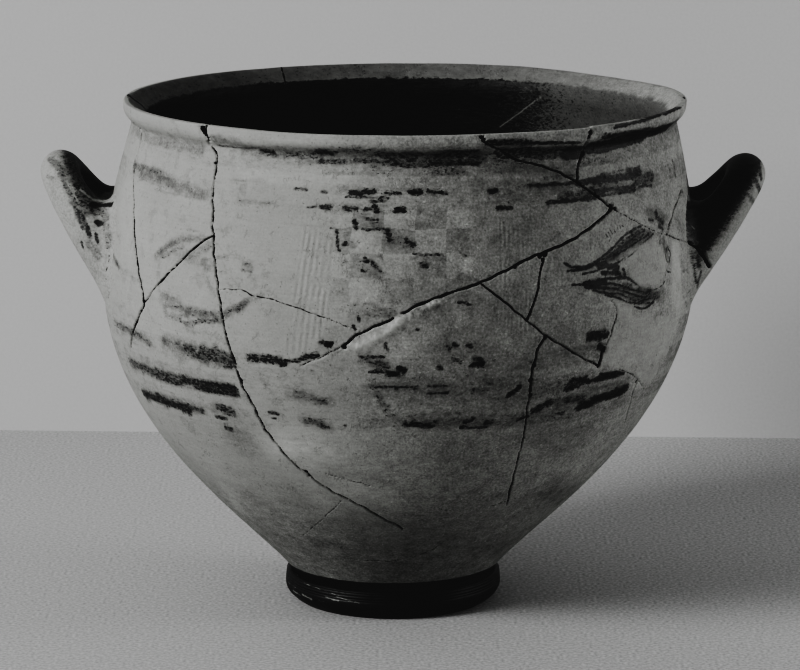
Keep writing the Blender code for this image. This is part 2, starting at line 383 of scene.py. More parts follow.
# Breaks. The vessel was found in sherds and glued: open joints cross the wall, with pits where
# three sherds meet. Each route is read from the photograph, in its pixels.
# Name, widest half width and depth in millimetres, and the route.
JOINTS = (
    ("rim_to_left_side", 0.66, 2.6, (
        (205, 135), (210, 144), (216, 155), (215, 170), (212.5, 190), (212.5, 236), (214.5, 265),
        (218, 295), (223, 325), (230, 350), (238, 375), (241, 384),
    )),
    ("left_side_to_foot", 0.58, 2.2, (
        (241, 384), (250, 402), (262, 425), (278, 448), (300, 470), (330, 491), (360, 507), (403, 530),
    )),
    ("left_slant", 0.56, 2.4, (
        (212, 236), (197, 245), (180, 261), (160, 281), (143, 304), (133, 328), (130, 348),
    )),
    ("left_slant_low", 0.75, 2.4, ((143, 304), (136, 320), (131, 338))),
    ("far_left_top", 0.70, 2.0, ((134, 123), (137, 127), (141, 132), (140, 142), (135, 158))),
    ("far_left", 0.80, 2.0, ((134, 160), (133, 185), (133, 222), (134, 248), (137, 268), (143, 304))),
    ("far_left_gap", 1.60, 3.0, ((133, 222), (133, 234), (134, 250))),
    ("far_left_low", 1.05, 2.6, ((134, 250), (137, 268), (140, 286), (143, 303))),
    ("panel_hairline", 0.28, 0.9, (
        (217, 290), (240, 290), (252, 296), (272, 299.5), (305, 311), (332, 321), (360, 332),
    )),
    ("great_slant_low", 0.74, 3.0, ((343, 347), (352, 340), (360, 334), (378, 326), (393, 319))),
    ("great_slant", 0.74, 3.0, (
        (404, 313), (430, 301), (480, 283), (525, 261), (540, 254), (572, 240), (597, 223), (613, 208),
    )),
    ("great_slant_end", 0.34, 1.0, ((300, 366), (320, 358), (343, 346))),
    ("rim_to_right_shoulder", 0.56, 2.2, (
        (483, 141), (497, 150), (515, 158), (545, 166), (560, 172), (580, 183), (598, 197), (613, 208),
    )),
    ("shoulder_hairline", 0.34, 1.0, ((613, 208), (635, 220), (655, 231), (668, 235))),
    ("rim_to_shoulder_band", 0.66, 2.4, ((591, 134), (587, 143), (583, 151), (579, 166), (577, 181))),
    ("fork_down", 0.70, 2.6, ((545, 258), (541, 272), (537, 297), (528, 320))),
    ("fork_slant", 0.50, 2.2, (
        (482, 284), (500, 298), (528, 321), (546, 336), (565, 348), (585, 359), (598, 366),
    )),
    ("ragged_fall_head", 0.80, 2.4, ((546, 337), (540, 348), (536, 360), (533, 374), (531, 392))),
    ("ragged_fall", 0.42, 1.6, ((531, 392), (527, 415), (523, 440), (516, 470), (507, 505))),
    ("shoulder_to_handle", 0.60, 2.6, ((683, 190), (677, 205), (667, 235))),
    ("below_handle", 0.40, 1.6, ((668, 235), (680, 239), (690, 243), (697, 247))),
    ("fill_edge", 0.34, 1.2, ((612, 300), (618, 312), (612, 335), (605, 350))),
    ("fill_edge_low", 0.85, 2.0, ((605, 349), (602, 358), (599, 367))),
    ("fill_lower_edge", 0.36, 1.2, ((617, 369), (635, 376), (640, 383), (646, 392))),
    ("right_fall", 0.38, 1.6, ((637, 382), (631, 400), (625, 425))),
    ("fill_hairline", 0.26, 1.0, ((673, 329), (669, 353))),
    ("low_left_hairline", 0.22, 0.6, ((343, 500), (322, 520), (300, 538))),
    ("low_hairline", 0.26, 0.7, ((325, 475), (350, 482), (375, 488))),
    ("foot_hairline", 0.24, 0.8, ((340, 560), (392, 562), (420, 556), (446, 542))),
    ("low_left_chip_line", 0.34, 1.0, ((266, 536), (272, 549))),
    ("left_handle_root", 0.34, 1.0, ((114, 277), (110, 288), (106, 300))),
    ("lower_line", 0.20, 0.6, ((430, 508), (462, 512), (495, 506), (520, 497))),
)
# Name, place in pixels, radius and depth in millimetres.
PITS = (
    ("rim_gap_top", (201.8, 128), 2.3, 2.6),
    ("rim_gap_upper", (202.6, 130.5), 2.3, 2.8),
    ("rim_gap_middle", (203.8, 133), 1.9, 2.8),
    ("rim_gap_low", (205.3, 135.5), 1.6, 2.8),
    ("rim_gap_lower", (206.8, 138), 1.3, 2.6),
    ("rim_gap_foot", (208.6, 141), 1.0, 2.4),
    ("rim_hole", (482, 137), 1.5, 3.0),
    ("rim_hole_right", (484.5, 140), 1.1, 2.4),
    ("rim_step", (591.5, 132), 1.5, 2.4),
    ("rim_step_low", (590, 137), 1.2, 2.2),
    ("shoulder_hole", (612, 206), 1.7, 3.4),
    ("shoulder_hole_right", (616, 208.5), 1.2, 2.6),
    ("shoulder_hole_low", (611, 210), 1.3, 2.8),
    ("fork_hole", (546, 254), 1.9, 3.4),
    ("fork_hole_left", (541, 256), 1.6, 3.0),
    ("fork_hole_low", (544, 260), 1.3, 3.0),
    ("left_side_hole", (240.5, 381), 1.1, 2.4),
    ("low_hole", (305.5, 473), 1.3, 2.2),
    ("low_hole_end", (309, 477), 1.0, 2.0),
    ("handle_side_hole", (683, 191), 1.3, 3.0),
    ("handle_side_hole_low", (682, 196), 1.1, 2.6),
    ("fill_corner", (600, 365), 1.3, 2.2),
    ("fall_head", (546, 338), 1.3, 2.4),
    ("fall_flake_a", (535, 366), 1.5, 1.6),
    ("fall_flake_b", (531.5, 381), 1.7, 1.6),
    ("fall_flake_c", (531, 396), 1.4, 1.4),
    ("great_slant_end", (344, 348), 1.4, 2.6),
    ("right_fall_head", (637, 382), 1.1, 2.0),
    ("bead_a", (214.5, 163), 0.9, 2.0),
    ("bead_b", (212.5, 218), 0.9, 2.0),
    ("bead_c", (160, 281), 0.9, 2.0),
    ("bead_d", (516, 267), 1.2, 2.4),
)


# Joints seen on the inner side of the lip, and one sherd's edge that catches the light, painted in as a pale
# highlight
INNER_JOINTS = (
    ("back_left", 0.60, ((281, 66.5), (283.5, 73), (286.5, 86))),
    ("far_left", 1.40, ((126.5, 93.5), (133, 98), (141, 104), (149, 112))),
    ("right_chip", 1.10, ((683.5, 96), (686, 98))),
)
SHERD_EDGE_HIGHLIGHT = ((500, 127), (520, 112.5), (541, 96.5))
# Without a seed of its own, the vector noise differs from run to run
noise.seed_set(5)


def smooth_line(points, gap):
    """Points a set gap apart, in pixels, on a smooth line through the given ones."""
    route = [Vector((x, y, 0.0)) for x, y in points]
    ends = [2 * route[0] - route[1]] + route + [2 * route[-1] - route[-2]]
    line = []
    for before, start, end, after in zip(ends, ends[1:], ends[2:], ends[3:]):
        pull = start + (end - before) / 6
        end_pull = end - (after - start) / 6
        steps = max(1, round((end - start).length / gap))
        line += interpolate_bezier(start, pull, end_pull, end, steps + 1)[:-1]
    return line + [route[-1]]


def trace(surface, route, gap, wobble):
    """Places on a surface behind a pixel route, which wavers by some part of a pixel."""
    places = []
    for step, point in enumerate(smooth_line(route, gap)):
        waver = noise.noise_vector(Vector((point.x * 0.11, point.y * 0.11, step * 0.003))) * wobble
        place = surface.ray_cast(CAMERA_PLACE, pixel_ray(point.x + waver.x, point.y + waver.y))[0]
        if place is not None:
            places.append(place)
    return places


# A joint's places, each with its half width and depth there
joint_places = []
for number, (name, half_width, depth, route) in enumerate(JOINTS):
    places = trace(bowl_surface, route, 0.6, 1.3)
    if places[0].z > RIM_HEIGHT - 14 * MM:
        # The joint runs on over the lip
        first = places[0]
        for step in range(1, 30):
            higher = Vector((first.x, first.y, first.z + step * 0.45 * MM))
            if higher.z < RIM_HEIGHT:
                places.insert(0, outer_twin(higher))
    for step, place in enumerate(places):
        ripple = noise.noise(Vector((step * 0.045, number * 7.3, 0.0)))
        burr = noise.noise(Vector((step * 0.4, number * 3.1, 5.0)))
        width = half_width * MM * (0.92 + 0.50 * ripple + 0.14 * burr)
        from_end = min(step, len(places) - 1 - step) / 14
        if half_width < 0.4:
            width *= min(1.0, 0.35 + from_end)
        joint_places.append((place, max(width, 0.12 * MM), depth * MM))
for name, (x, y), radius, depth in PITS:
    place = trace(bowl_surface, ((x, y), (x + 0.1, y)), 1.0, 0.0)[0]
    joint_places.append((place, radius * MM, depth * MM))


def search_tree(places):
    """A tree that finds the nearest of some places."""
    tree = KDTree(len(places))
    for index, place in enumerate(places):
        tree.insert(place, index)
    tree.balance()
    return tree


# Paint that is left. Most of the dark slip has flaked off: what stays is read from the
# photograph as straight dabs between two pixels, each with a half thickness in pixels and a
# strength, from a grey stain at 0.3 to whole black paint at 1.
LIP_DABS = (
    (142, 131, 208, 152, 6, 0.24), (211, 137, 242, 141, 4, 0.28), (217, 146, 262, 149, 1.6, 0.56),
    (262, 152, 275, 154, 4, 0.66), (285, 155, 322, 156, 4, 0.50), (318, 152, 332, 154, 4, 0.72),
    (318, 161, 345, 162, 3, 0.62), (330, 150, 380, 152, 5, 0.44), (355, 160, 400, 161, 3, 0.62),
    (380, 156, 478, 159, 6, 0.60), (384, 164, 430, 166, 3, 0.66), (430, 164, 478, 163, 3, 0.78),
    (440, 155, 478, 153, 5, 0.66), (488, 143, 530, 142, 3.5, 0.80), (500, 153, 540, 151, 7, 0.68),
    (530, 143, 580, 142, 2, 0.90), (540, 152, 578, 150, 7, 0.66), (567, 153, 581, 151, 6, 0.95),
    (590, 148, 620, 142, 7.0, 0.92), (620, 141, 645, 135, 8.0, 0.97), (645, 135, 668, 128, 6.5, 0.95),
    (606, 137, 646, 131, 4.0, 0.85), (616, 127, 640, 121.5, 2.2, 1.00), (640, 121, 660, 114.5, 2.4, 1.10),
    (660, 114.5, 681, 107, 2.2, 1.10), (670, 126, 678, 121, 4, 0.55),
)
SHOULDER_DABS = (
    (134, 165, 160, 172, 4, 0.46), (140, 176, 172, 184, 6, 0.36), (160, 184, 200, 194, 6, 0.32),
    (153, 189, 200, 198, 2.5, 0.38), (240, 200, 270, 204, 2.5, 0.34), (233, 180, 268, 182, 2, 0.20),
    (294, 189, 306, 189, 2, 0.62), (322, 191, 326, 192, 2, 0.70), (308, 207, 316, 207, 1.5, 0.72),
    (322, 207, 330, 207, 3, 0.85), (351, 193, 362, 193, 3.2, 0.90), (365, 192, 374, 192, 3, 0.80),
    (386, 193, 402, 193, 2.5, 0.62), (410, 192, 420, 192, 3, 0.88), (428, 191, 446, 193, 2, 0.84),
    (489, 191, 497, 191, 3, 0.84), (347, 197, 388, 198, 1.6, 0.66), (370, 201, 384, 201, 2, 0.72),
    (345, 208, 356, 209, 3, 0.74), (362, 210, 370, 209, 2, 0.74), (376, 206, 377, 211, 3, 0.86),
    (396, 210, 404, 210, 3.2, 0.92), (498, 208, 511, 207, 2.4, 0.82), (340, 190, 440, 192, 5, 0.34),
    (340, 208, 420, 210, 5, 0.32), (530, 186, 578, 182, 2.2, 0.84), (548, 203, 598, 197, 2.4, 0.92),
    (545, 178, 575, 175, 2.5, 0.50), (578, 183, 600, 179, 3.5, 0.95), (600, 180, 640, 172, 5.5, 0.88),
    (598, 193, 634, 188, 4.5, 0.84), (584, 190, 612, 187, 4, 0.66), (520, 187, 548, 186, 2.5, 0.46),
    (560, 196, 600, 191, 4, 0.62), (634, 181, 652, 176, 6, 0.58),
    (640, 187, 652, 186, 2, 0.80), (673, 160, 676, 176, 3, 0.55),
)
PANEL_DABS = (
    (366, 219, 378, 221, 1.6, 0.78), (354, 221, 356, 228, 2.2, 0.88), (362, 229, 384, 229, 1.4, 0.78),
    (387, 230, 389, 240, 2.6, 0.90), (337, 231, 338, 246, 1.8, 0.85), (338, 249, 339, 251, 1.5, 0.82),
    (344, 244, 346, 244, 2.2, 0.85), (406, 241, 413, 245, 3, 0.80), (414, 254, 440, 255, 1.4, 0.70),
    (364, 259, 368, 261, 2.6, 0.76), (372, 262, 376, 267, 2.8, 0.82), (422, 265, 427, 266, 2.6, 0.78),
    (363, 271, 365, 272, 1.5, 0.78), (378, 270, 380, 271, 1.4, 0.74), (331, 228, 334, 228, 1.5, 0.72),
    (358, 317, 359, 321, 1.6, 0.86), (353, 326, 355, 330, 1.5, 0.84), (345, 306, 372, 304, 1.5, 0.42),
    (368, 314, 392, 312, 6, 0.40), (358, 242, 360, 243, 0.9, 0.72), (345, 262, 350, 275, 4, 0.32),
    (460, 302, 471, 305, 1.5, 0.84), (458, 275, 476, 281, 4, 0.36), (506.5, 252, 507, 262, 0.6, 0.72),
    (510, 250, 510, 260, 0.6, 0.72), (513, 249, 513.5, 256, 0.6, 0.68), (459, 252, 468, 256, 3, 0.44),
    (352, 246, 346, 236, 4, 0.34), (388, 236, 412, 246, 6, 0.36), (356, 262, 382, 276, 6, 0.34),
    (418, 258, 440, 272, 6, 0.28), (365, 215, 378, 224, 5, 0.36),
)
LOWER_DABS = (
    (113, 322, 148, 342, 5, 0.50), (163, 340, 178, 344, 3, 0.50), (186, 350, 206, 358, 7, 0.60),
    (204, 352, 229, 362, 9, 0.60), (249, 358, 262, 358, 4.5, 0.70), (262, 358, 284, 363, 4.5, 0.78),
    (284, 362, 300, 360, 2.5, 0.78), (302, 358, 316, 355, 3.5, 0.78), (319, 342, 322, 342, 2.5, 0.82),
    (326, 344, 330, 345, 3.2, 0.95), (130, 363, 160, 377, 6, 0.58), (158, 373, 178, 382, 7, 0.64),
    (182, 379, 204, 387, 7, 0.68), (204, 386, 233, 392, 7.5, 0.78), (144, 394, 165, 402, 6.5, 0.76),
    (158, 398, 188, 411, 6.0, 0.78), (178, 404, 202, 411, 4.5, 0.70), (219, 408, 231, 412, 6, 0.62),
    (216, 417, 226, 419, 2.5, 0.82), (226, 429, 231, 430, 3.2, 0.72), (270, 413, 277, 414, 2.5, 0.76),
    (272, 419, 275, 419, 1.5, 0.80), (296, 394, 324, 402, 5, 0.44), (306, 420, 325, 427, 5, 0.50),
    (312, 371, 315, 373, 3, 0.48), (361, 358, 384, 358, 2, 0.78), (370, 363, 388, 367, 4, 0.66),
    (369, 372, 392, 373, 2, 0.80), (389, 374, 398, 374, 3.2, 0.98), (399, 369, 404, 371, 3.2, 0.95),
    (386, 346, 388, 350, 2, 0.82), (416, 330, 418, 331, 1.6, 0.86), (448, 347, 450, 350, 2, 0.86),
    (454, 344, 457, 346, 2.2, 0.90), (468, 347, 471, 348, 2.2, 0.90), (454, 359, 460, 362, 3, 0.60),
    (438, 368, 442, 369, 2.6, 0.92), (474, 359, 482, 360, 3, 0.72), (473, 366, 483, 365, 3.6, 1.00),
    (370, 388, 418, 388, 1.8, 0.76), (428, 387, 448, 386, 2, 0.60), (428, 394, 448, 393, 1.5, 0.90),
    (376, 395, 387, 408, 5, 0.48), (472, 392, 488, 391, 3.5, 0.60), (487, 384, 504, 382, 1.5, 0.62),
    (509, 396, 520, 388, 3, 0.92), (406, 424, 431, 427, 3.2, 0.84), (434, 422, 437, 423, 1.8, 0.85),
    (465, 423, 474, 419, 3, 0.78), (486, 423, 491, 423, 2.6, 0.85), (460, 428, 486, 428, 1.5, 0.84),
    (519, 420, 528, 417, 2.2, 0.86), (345, 426, 346, 427, 1.5, 0.78), (321, 425, 322, 426, 1.8, 0.85),
    (375, 384, 520, 384, 10, 0.30), (370, 420, 530, 420, 9, 0.34), (590, 337, 607, 335, 4.5, 0.92),
    (599, 346, 604, 350, 4, 0.86), (568, 389, 600, 382, 5, 0.96), (600, 378, 624, 372, 4.5, 0.94),
    (570, 384, 586, 378, 5, 0.80), (580, 408, 606, 397, 5.5, 1.00), (600, 399, 626, 389, 5.5, 0.97),
    (553, 402, 585, 398, 3.5, 0.62), (534, 412, 550, 402, 4, 0.82), (556, 415, 564, 414, 2, 0.84),
    (250, 372, 300, 385, 8, 0.20), (688, 305, 696, 295, 3, 0.62), (662, 314, 664, 316, 2, 0.66),
)
MOTIF_DABS = (
    (156, 254, 172, 244, 3.5, 0.42), (172, 244, 190, 238, 2.5, 0.40), (160, 258, 182, 247, 2.5, 0.46),
    (188, 256, 209, 246, 5, 0.34), (205, 259, 228, 257, 2, 0.36), (243, 262, 250, 263, 3, 0.42),
    (243, 269, 252, 271, 2.5, 0.42), (162, 303, 180, 309, 3, 0.50), (180, 311, 218, 314, 4, 0.46),
    (163, 312, 180, 321, 3.5, 0.50), (184, 323, 216, 321, 3, 0.54), (226, 314, 246, 303, 4.5, 0.50),
    (186, 330, 208, 331, 2.5, 0.42), (118, 305, 134, 318, 3, 0.30), (206, 268, 214, 262, 3, 0.36),
    (188, 229, 203, 233, 2, 0.30), (126, 300, 134, 296, 2, 0.34), (112, 253, 118, 268, 2.5, 0.56),
    (650, 219, 654, 220, 2, 0.80), (657, 214, 663, 222, 4, 0.70), (660, 226, 663, 229, 2.5, 0.78),
    (657, 205, 657, 212, 1.6, 0.46), (601, 266, 617, 269, 4.6, 0.93), (603, 273, 620, 274, 2.6, 0.90),
    (624, 269, 625, 276, 1.8, 0.90), (588, 285, 606, 285, 4.4, 0.95), (618, 249, 642, 232, 5.5, 0.60),
    (602, 262, 618, 253, 4.0, 0.62), (612, 286, 630, 289, 5.5, 0.56), (632, 298, 648, 298, 6, 0.42),
    (640, 292, 660, 297, 5, 0.58), (658, 258, 659, 258, 1.2, 0.80), (686, 303, 698, 293, 2, 0.62),
    (704, 273, 698, 285, 2.2, 0.62), (680, 271, 689, 271, 1.8, 0.62), (664, 238, 665, 252, 2.2, 0.40),
)
# Places where the paint or slip has come off down to pale clay
BARE_DABS = (
    (612, 281, 622, 284, 0.6, -0.9), (602, 286, 618, 287, 0.6, -0.9), (620, 289, 634, 293, 0.7, -0.9),
    (634, 293, 646, 296, 0.6, -0.9), (618, 295, 630, 299, 0.6, -0.9), (636, 305, 646, 304.5, 0.6, -0.9),
    (600, 262, 612, 258, 0.5, -0.8), (606, 256, 618, 247, 0.6, -0.9), (622, 262, 642, 245, 0.8, -0.95),
    (640, 244, 652, 235, 0.5, -0.8), (596, 272, 607, 269, 0.6, -0.8), (604, 270, 612, 271, 0.8, -0.8),
    (565, 393, 600, 384, 1.4, -0.95), (600, 384, 633, 377, 1.4, -0.95), (558, 402, 566, 398, 1.0, -0.8),
    (596, 187.5, 634, 181.5, 0.8, -0.75), (604, 176, 632, 171.5, 0.6, -0.6), (606, 193, 626, 190, 0.5, -0.6),
)
# Strokes of a broad brush on the right shoulder, as routes with a half thickness in pixels
BRUSH_STROKES = (
    (((565, 263), (570, 266), (577, 268), (590, 265), (600, 259), (607, 253), (615, 246), (624, 237),
      (632, 231), (642, 226)), 1.4),
    (((580, 268), (592, 265), (603, 257), (610, 253), (618, 249), (628, 243), (636, 236), (645, 230)), 1.5),
    (((568, 271), (582, 270), (594, 266), (604, 261), (612, 257), (622, 252), (632, 246), (641, 240),
      (649, 234)), 1.3),
    (((583, 274), (597, 271), (609, 266), (620, 262), (628, 257), (636, 252), (643, 244), (654, 234)), 1.2),
    (((576, 268), (588, 267), (600, 262)), 2.2),
    (((643, 249), (648, 243), (654, 238)), 0.6),
    (((573, 285), (580, 285), (588, 284)), 1.2),
    (((585, 283), (600, 281), (615, 278), (628, 278), (637, 283), (643, 288), (652, 291)), 1.9),
    (((586, 285), (602, 284), (616, 284), (628, 288), (638, 291), (648, 293)), 1.3),
    (((588, 287), (604, 288.5), (618, 289), (630, 293), (640, 297), (648, 297)), 1.4),
    (((594, 290), (608, 293.5), (620, 294), (630, 299), (642, 301), (650, 299)), 1.3),
    (((606, 295), (618, 298), (628, 302), (640, 303.5), (650, 303)), 1.1),
    (((635, 307), (642, 309), (648, 307), (654, 302)), 1.3),
    (((652, 291), (658, 288.5), (663, 285), (666, 281)), 0.7),
    (((661, 236), (661, 246), (661, 256), (663, 266), (666, 275)), 0.9),
    (((668, 247), (671, 254), (670, 262)), 0.9), (((667, 249), (666.5, 256), (668, 262)), 0.8),
    (((666, 269), (669, 272), (672, 272)), 1.0),
    (((606.5, 234), (609, 238)), 0.55), (((609, 232), (611.5, 238)), 0.55), (((611, 230), (613, 234)), 0.55),
    (((610.5, 240), (609.5, 242)), 0.5), (((614.5, 229), (616, 232)), 0.55), (((618, 227), (619, 229.5)), 0.5),
    (((620, 225.5), (621.5, 228)), 0.5), (((622, 225), (624, 227)), 0.5),
    (((690, 250), (693, 262), (694, 275), (695, 290)), 0.9),
)

PIXEL = 0.70 * MM
paint_places = []
for dabs in (LIP_DABS, SHOULDER_DABS, PANEL_DABS, LOWER_DABS, MOTIF_DABS, BARE_DABS):
    for x0, y0, x1, y1, half, strength in dabs:
        for place in trace(bowl_surface, ((x0, y0), (x1, y1)), 1.2, 1.0):
            paint_places.append((place, half * PIXEL, strength))
for route, half in BRUSH_STROKES:
    for step, place in enumerate(trace(bowl_surface, route, 0.8, 0.5)):
        thickness = half * PIXEL * (0.95 + 0.3 * noise.noise(place * 400))
        paint_places.append((place, thickness, 0.95))


def is_inside(place):
    """True on the inner side of the bowl, below the face of the lip."""
    across = math.hypot(place.x - axis_at(place.z), place.y)
    return place.z < LIP_INNER_HEIGHT + 0.5 * MM and across < outer_radius(place.z) - WALL / 2


def refine(shape, tree, reach, target, stand_in=None):
    """Halve the faces above a target size that lie nearer than a reach to some places."""
    chosen = set()
    for face in shape.faces:
        size = math.sqrt(face.calc_area())
        if size < 1.35 * target:
            continue
        centre = face.calc_center_median()
        if stand_in:
            if is_inside(centre):
                continue
            centre = stand_in(centre)
        if tree.find(centre)[2] < reach + size / 2:
            chosen.update(face.edges)
    edges = [edge for edge in shape.edges if edge in chosen]
    bmesh.ops.subdivide_edges(shape, edges=edges, cuts=1, use_grid_fill=True)
    bmesh.ops.triangulate(shape, faces=[face for face in shape.faces if len(face.verts) > 4])


inner_places = []
for name, half_width, route in INNER_JOINTS:
    inner_places += [(place, half_width * MM) for place in trace(bowl_surface, route, 0.6, 0.8)]
inner_tree = search_tree([place for place, half in inner_places])
edge_highlight_places = trace(bowl_surface, SHERD_EDGE_HIGHLIGHT, 0.6, 0.5)
edge_highlight_tree = search_tree(edge_highlight_places)
joint_tree = search_tree([place for place, half, depth in joint_places])
paint_tree = search_tree([place for place, half, strength in paint_places])
small_dabs = [place for place, half, strength in paint_places if half < 3.4 * PIXEL and strength > 0.5]
small_dab_tree = search_tree(small_dabs)
stroke_tree = search_tree([place for place, half, strength in paint_places if strength == 0.95])

refine(bowl, paint_tree, 4.5 * MM, 2.6 * MM, outer_twin)
refine(bowl, joint_tree, 6 * MM, 2.6 * MM, outer_twin)
refine(bowl, small_dab_tree, 1.8 * MM, 1.3 * MM, outer_twin)
refine(bowl, joint_tree, 3 * MM, 1.3 * MM, outer_twin)
refine(bowl, stroke_tree, 1.2 * MM, 0.65 * MM, outer_twin)
refine(bowl, joint_tree, 1.4 * MM, 0.65 * MM, outer_twin)
for fineness in (2.4 * MM, 1.2 * MM, 0.7 * MM):
    refine(bowl, inner_tree, 0.9 * fineness, fineness)
    refine(bowl, edge_highlight_tree, 0.8 * fineness, fineness)


# Fills. The missing sherds on the right are closed with plaster, smoother and paler than the
# clay, and a ridge of plaster stands below the great slanting joint. Each fill has a paleness
# and its outline in pixels.
FILLS = (
    (1.0, ((612, 300), (640, 312), (672, 318), (683, 300), (676, 335), (664, 362), (650, 385), (642, 380),
     (626, 372), (600, 367), (612, 335), (618, 312))),
    (1.4, ((672, 240), (680, 241), (682, 270), (681, 300), (677, 322), (673, 300), (672, 270))),
    (1.0, ((628, 262), (640, 246), (654, 236), (664, 250), (667, 270), (660, 286), (644, 290), (632, 278))),
)
LUMPS = (
    (347, 351, 4.2, 0.7), (353, 349, 4.8, 0.9), (359, 346, 5.0, 1.1), (365, 343, 5.2, 1.3),
    (371, 341, 5.2, 1.2), (377, 338, 5.0, 1.1), (383, 335, 5.0, 1.2), (389, 331, 5.0, 1.4),
    (394, 327, 5.0, 1.5), (399, 322, 4.8, 1.6), (404, 319, 4.4, 1.6), (409, 317, 4.0, 1.5),
    (413, 320, 3.2, 0.8), (419, 314, 2.4, 0.6), (425, 309, 2.6, 0.8), (430, 306, 3.2, 1.3),
    (435, 304, 3.4, 1.6), (440, 303, 3.0, 1.4), (366, 352, 3.0, 0.5), (380, 345, 3.0, 0.5),
)
ANGLE_SCALE = 0.2


def chart(place):
    """A place on the outer wall as flat coordinates: along the wall and up."""
    angle, height = wall_place(place)
    return Vector((angle * ANGLE_SCALE, height))


def inside_share(outline, spot, soft):
    """How far a spot lies within an outline, from 0 outside it to 1, across a soft edge."""
    crossings = 0
    nearest = 1.0
    for start, end in zip(outline, outline[1:] + outline[:1]):
        along = end - start
        share = min(max((spot - start).dot(along) / along.length_squared, 0.0), 1.0)
        nearest = min(nearest, (start + along * share - spot).length)
        if (start.y > spot.y) != (end.y > spot.y):
            crossing = start.x + (spot.y - start.y) / (end.y - start.y) * along.x
            crossings += spot.x < crossing
    signed = nearest if crossings % 2 else -nearest
    return min(max(0.5 + signed / soft, 0.0), 1.0)


fill_charts = [
    (pale, [chart(place) for place in trace(bowl_surface, outline, 900, 0)]) for pale, outline in FILLS
]
lump_places = []
for x, y, half, height in LUMPS:
    lump_places.append((trace(bowl_surface, ((x, y), (x + 0.1, y)), 1, 0)[0], half * PIXEL, height * MM))
lump_tree = search_tree([place for place, half, height in lump_places])


def ease(low, high, value):
    """A soft step from 0 to 1 between two values, in either order."""
    share = min(max((value - low) / (high - low), 0.0), 1.0)
    return share * share * (3 - 2 * share)


# How much of the painted bands is left, by angle from the front in degrees: a few stops each
LIP_COVER = ((-180, 0.55), (-100, 0.45), (-72, 0.14), (-40, 0.20), (-14, 0.30), (0, 0.36), (14, 0.46),
             (30, 0.42), (42, 0.42), (50, 0.34), (75, 0.34), (110, 0.60), (180, 0.55))
SHOULDER_COVER = ((-180, 0.58), (-100, 0.50), (-72, 0.16), (-55, 0.14), (-42, 0.10), (-20, 0.10), (0, 0.22),
                  (14, 0.28), (32, 0.34), (42, 0.50), (52, 0.34), (62, 0.26), (75, 0.30), (110, 0.55), (180, 0.58))
LIP_FACE_COVER = ((-180, 0.66), (-150, 0.78), (-95, 0.78), (-74, 0.60), (-62, 0.10), (60, 0.06), (95, 0.08),
                  (118, 0.22), (135, 0.38), (152, 0.52), (180, 0.62))
LOWER_COVER = ((-180, 0.56), (-100, 0.52), (-72, 0.24), (-50, 0.24), (-33, 0.22), (-28, 0.12), (0, 0.22),
               (22, 0.30), (30, 0.36), (52, 0.30), (60, 0.24), (80, 0.45), (110, 0.55), (180, 0.56))


def cover_at(stops, degrees):
    """The value between the stops on either side of an angle."""
    for (low, first), (high, last) in zip(stops, stops[1:]):
        if degrees <= high:
            return first + (last - first) * (degrees - low) / (high - low)
    return stops[-1][1]


def mark_and_carve(shape, painted, joints, stand_in, ground):
    """Write how much paint is left, less where it is worn to bare clay and where pale highlights are painted in, and
    how near the joints are, and how deep they cut.
    """
    for label in ("paint", "gap", "cut"):
        shape.verts.layers.float.new(label)
    layers = shape.verts.layers.float
    painted_tree = search_tree([place for place, half, strength in painted])
    joints_tree = search_tree([place for place, half, deep in joints]) if joints else None
    for vertex in shape.verts:
        place = stand_in(vertex.co) if stand_in else vertex.co
        ragged = (0.8 * noise.noise(place * 330) + 0.5 * noise.noise(place * 800)) * MM
        strength = ground(vertex)
        bare_and_highlight = 0.0
        for spot, index, distance in painted_tree.find_range(place, 11 * MM):
            half, most = painted[index][1:]
            loose = min(1.0, half / (1.6 * MM))
            soft = min(1.3 * MM, 0.8 * half)
            share = ease(half + soft, half - soft, distance + ragged * loose)
            if most > 0:
                strength = max(strength, most * share)
            else:
                bare_and_highlight = max(bare_and_highlight, -most * share)
        vertex[layers["paint"]] = strength * (1 - bare_and_highlight)
        gap = 6.0
        depth = 0.0
        for spot, index, distance in joints_tree.find_range(place, 7 * MM) if joints else ():
            half, deep = joints[index][1:]
            gap = min(gap, (distance - half) / MM)
            depth = max(depth, deep * max(0.0, 1.0 - (distance / (half * 1.2 + 0.12 * MM)) ** 2))
        vertex[layers["gap"]] = gap
        vertex[layers["cut"]] = depth


# Soft grey veils of soot and handling, in pixels with a half thickness and a strength, which is
# below zero where the wall is lighter than round about. The two below zero under the lip's crest
# are painted light, lifting the shade on the flare that faces down.
VEILS_AND_LIGHT = (
    (440, 178, 560, 188, 26, 0.12), (465, 222, 520, 234, 26, 0.12), (430, 300, 510, 306, 26, 0.18),
    (450, 345, 475, 345, 18, 0.28), (430, 390, 520, 392, 22, 0.10), (545, 430, 575, 440, 24, 0.18),
    (380, 270, 400, 270, 16, 0.08), (400, 235, 430, 235, 16, 0.12), (320, 545, 350, 552, 12, 0.06), (550, 490, 576, 500, 18, 0.30),
    (478, 550, 504, 548, 12, 0.16), (255, 500, 264, 506, 10, 0.14),
    (250, 176, 345, 176, 8, -0.16), (234, 436, 246, 446, 14, 0.18), (480, 225, 486, 230, 16, 0.12), (430, 300, 436, 300, 12, 0.14),
    (565, 342, 578, 348, 14, 0.16), (680, 222, 682, 230, 10, 0.16),
    (288, 447, 335, 455, 24, -0.30), (345, 440, 372, 470, 26, -0.20), (350, 492, 384, 498, 22, -0.30),
    (396, 436, 410, 480, 24, -0.20), (312, 488, 330, 505, 18, -0.14), (228, 492, 238, 510, 12, -0.18),
    # Painted light: these two lighten the strip under the lip's crest, where the flare faces down into shade
    (225, 141, 330, 141, 6, -0.16), (330, 142, 470, 141, 5, -0.12),
)
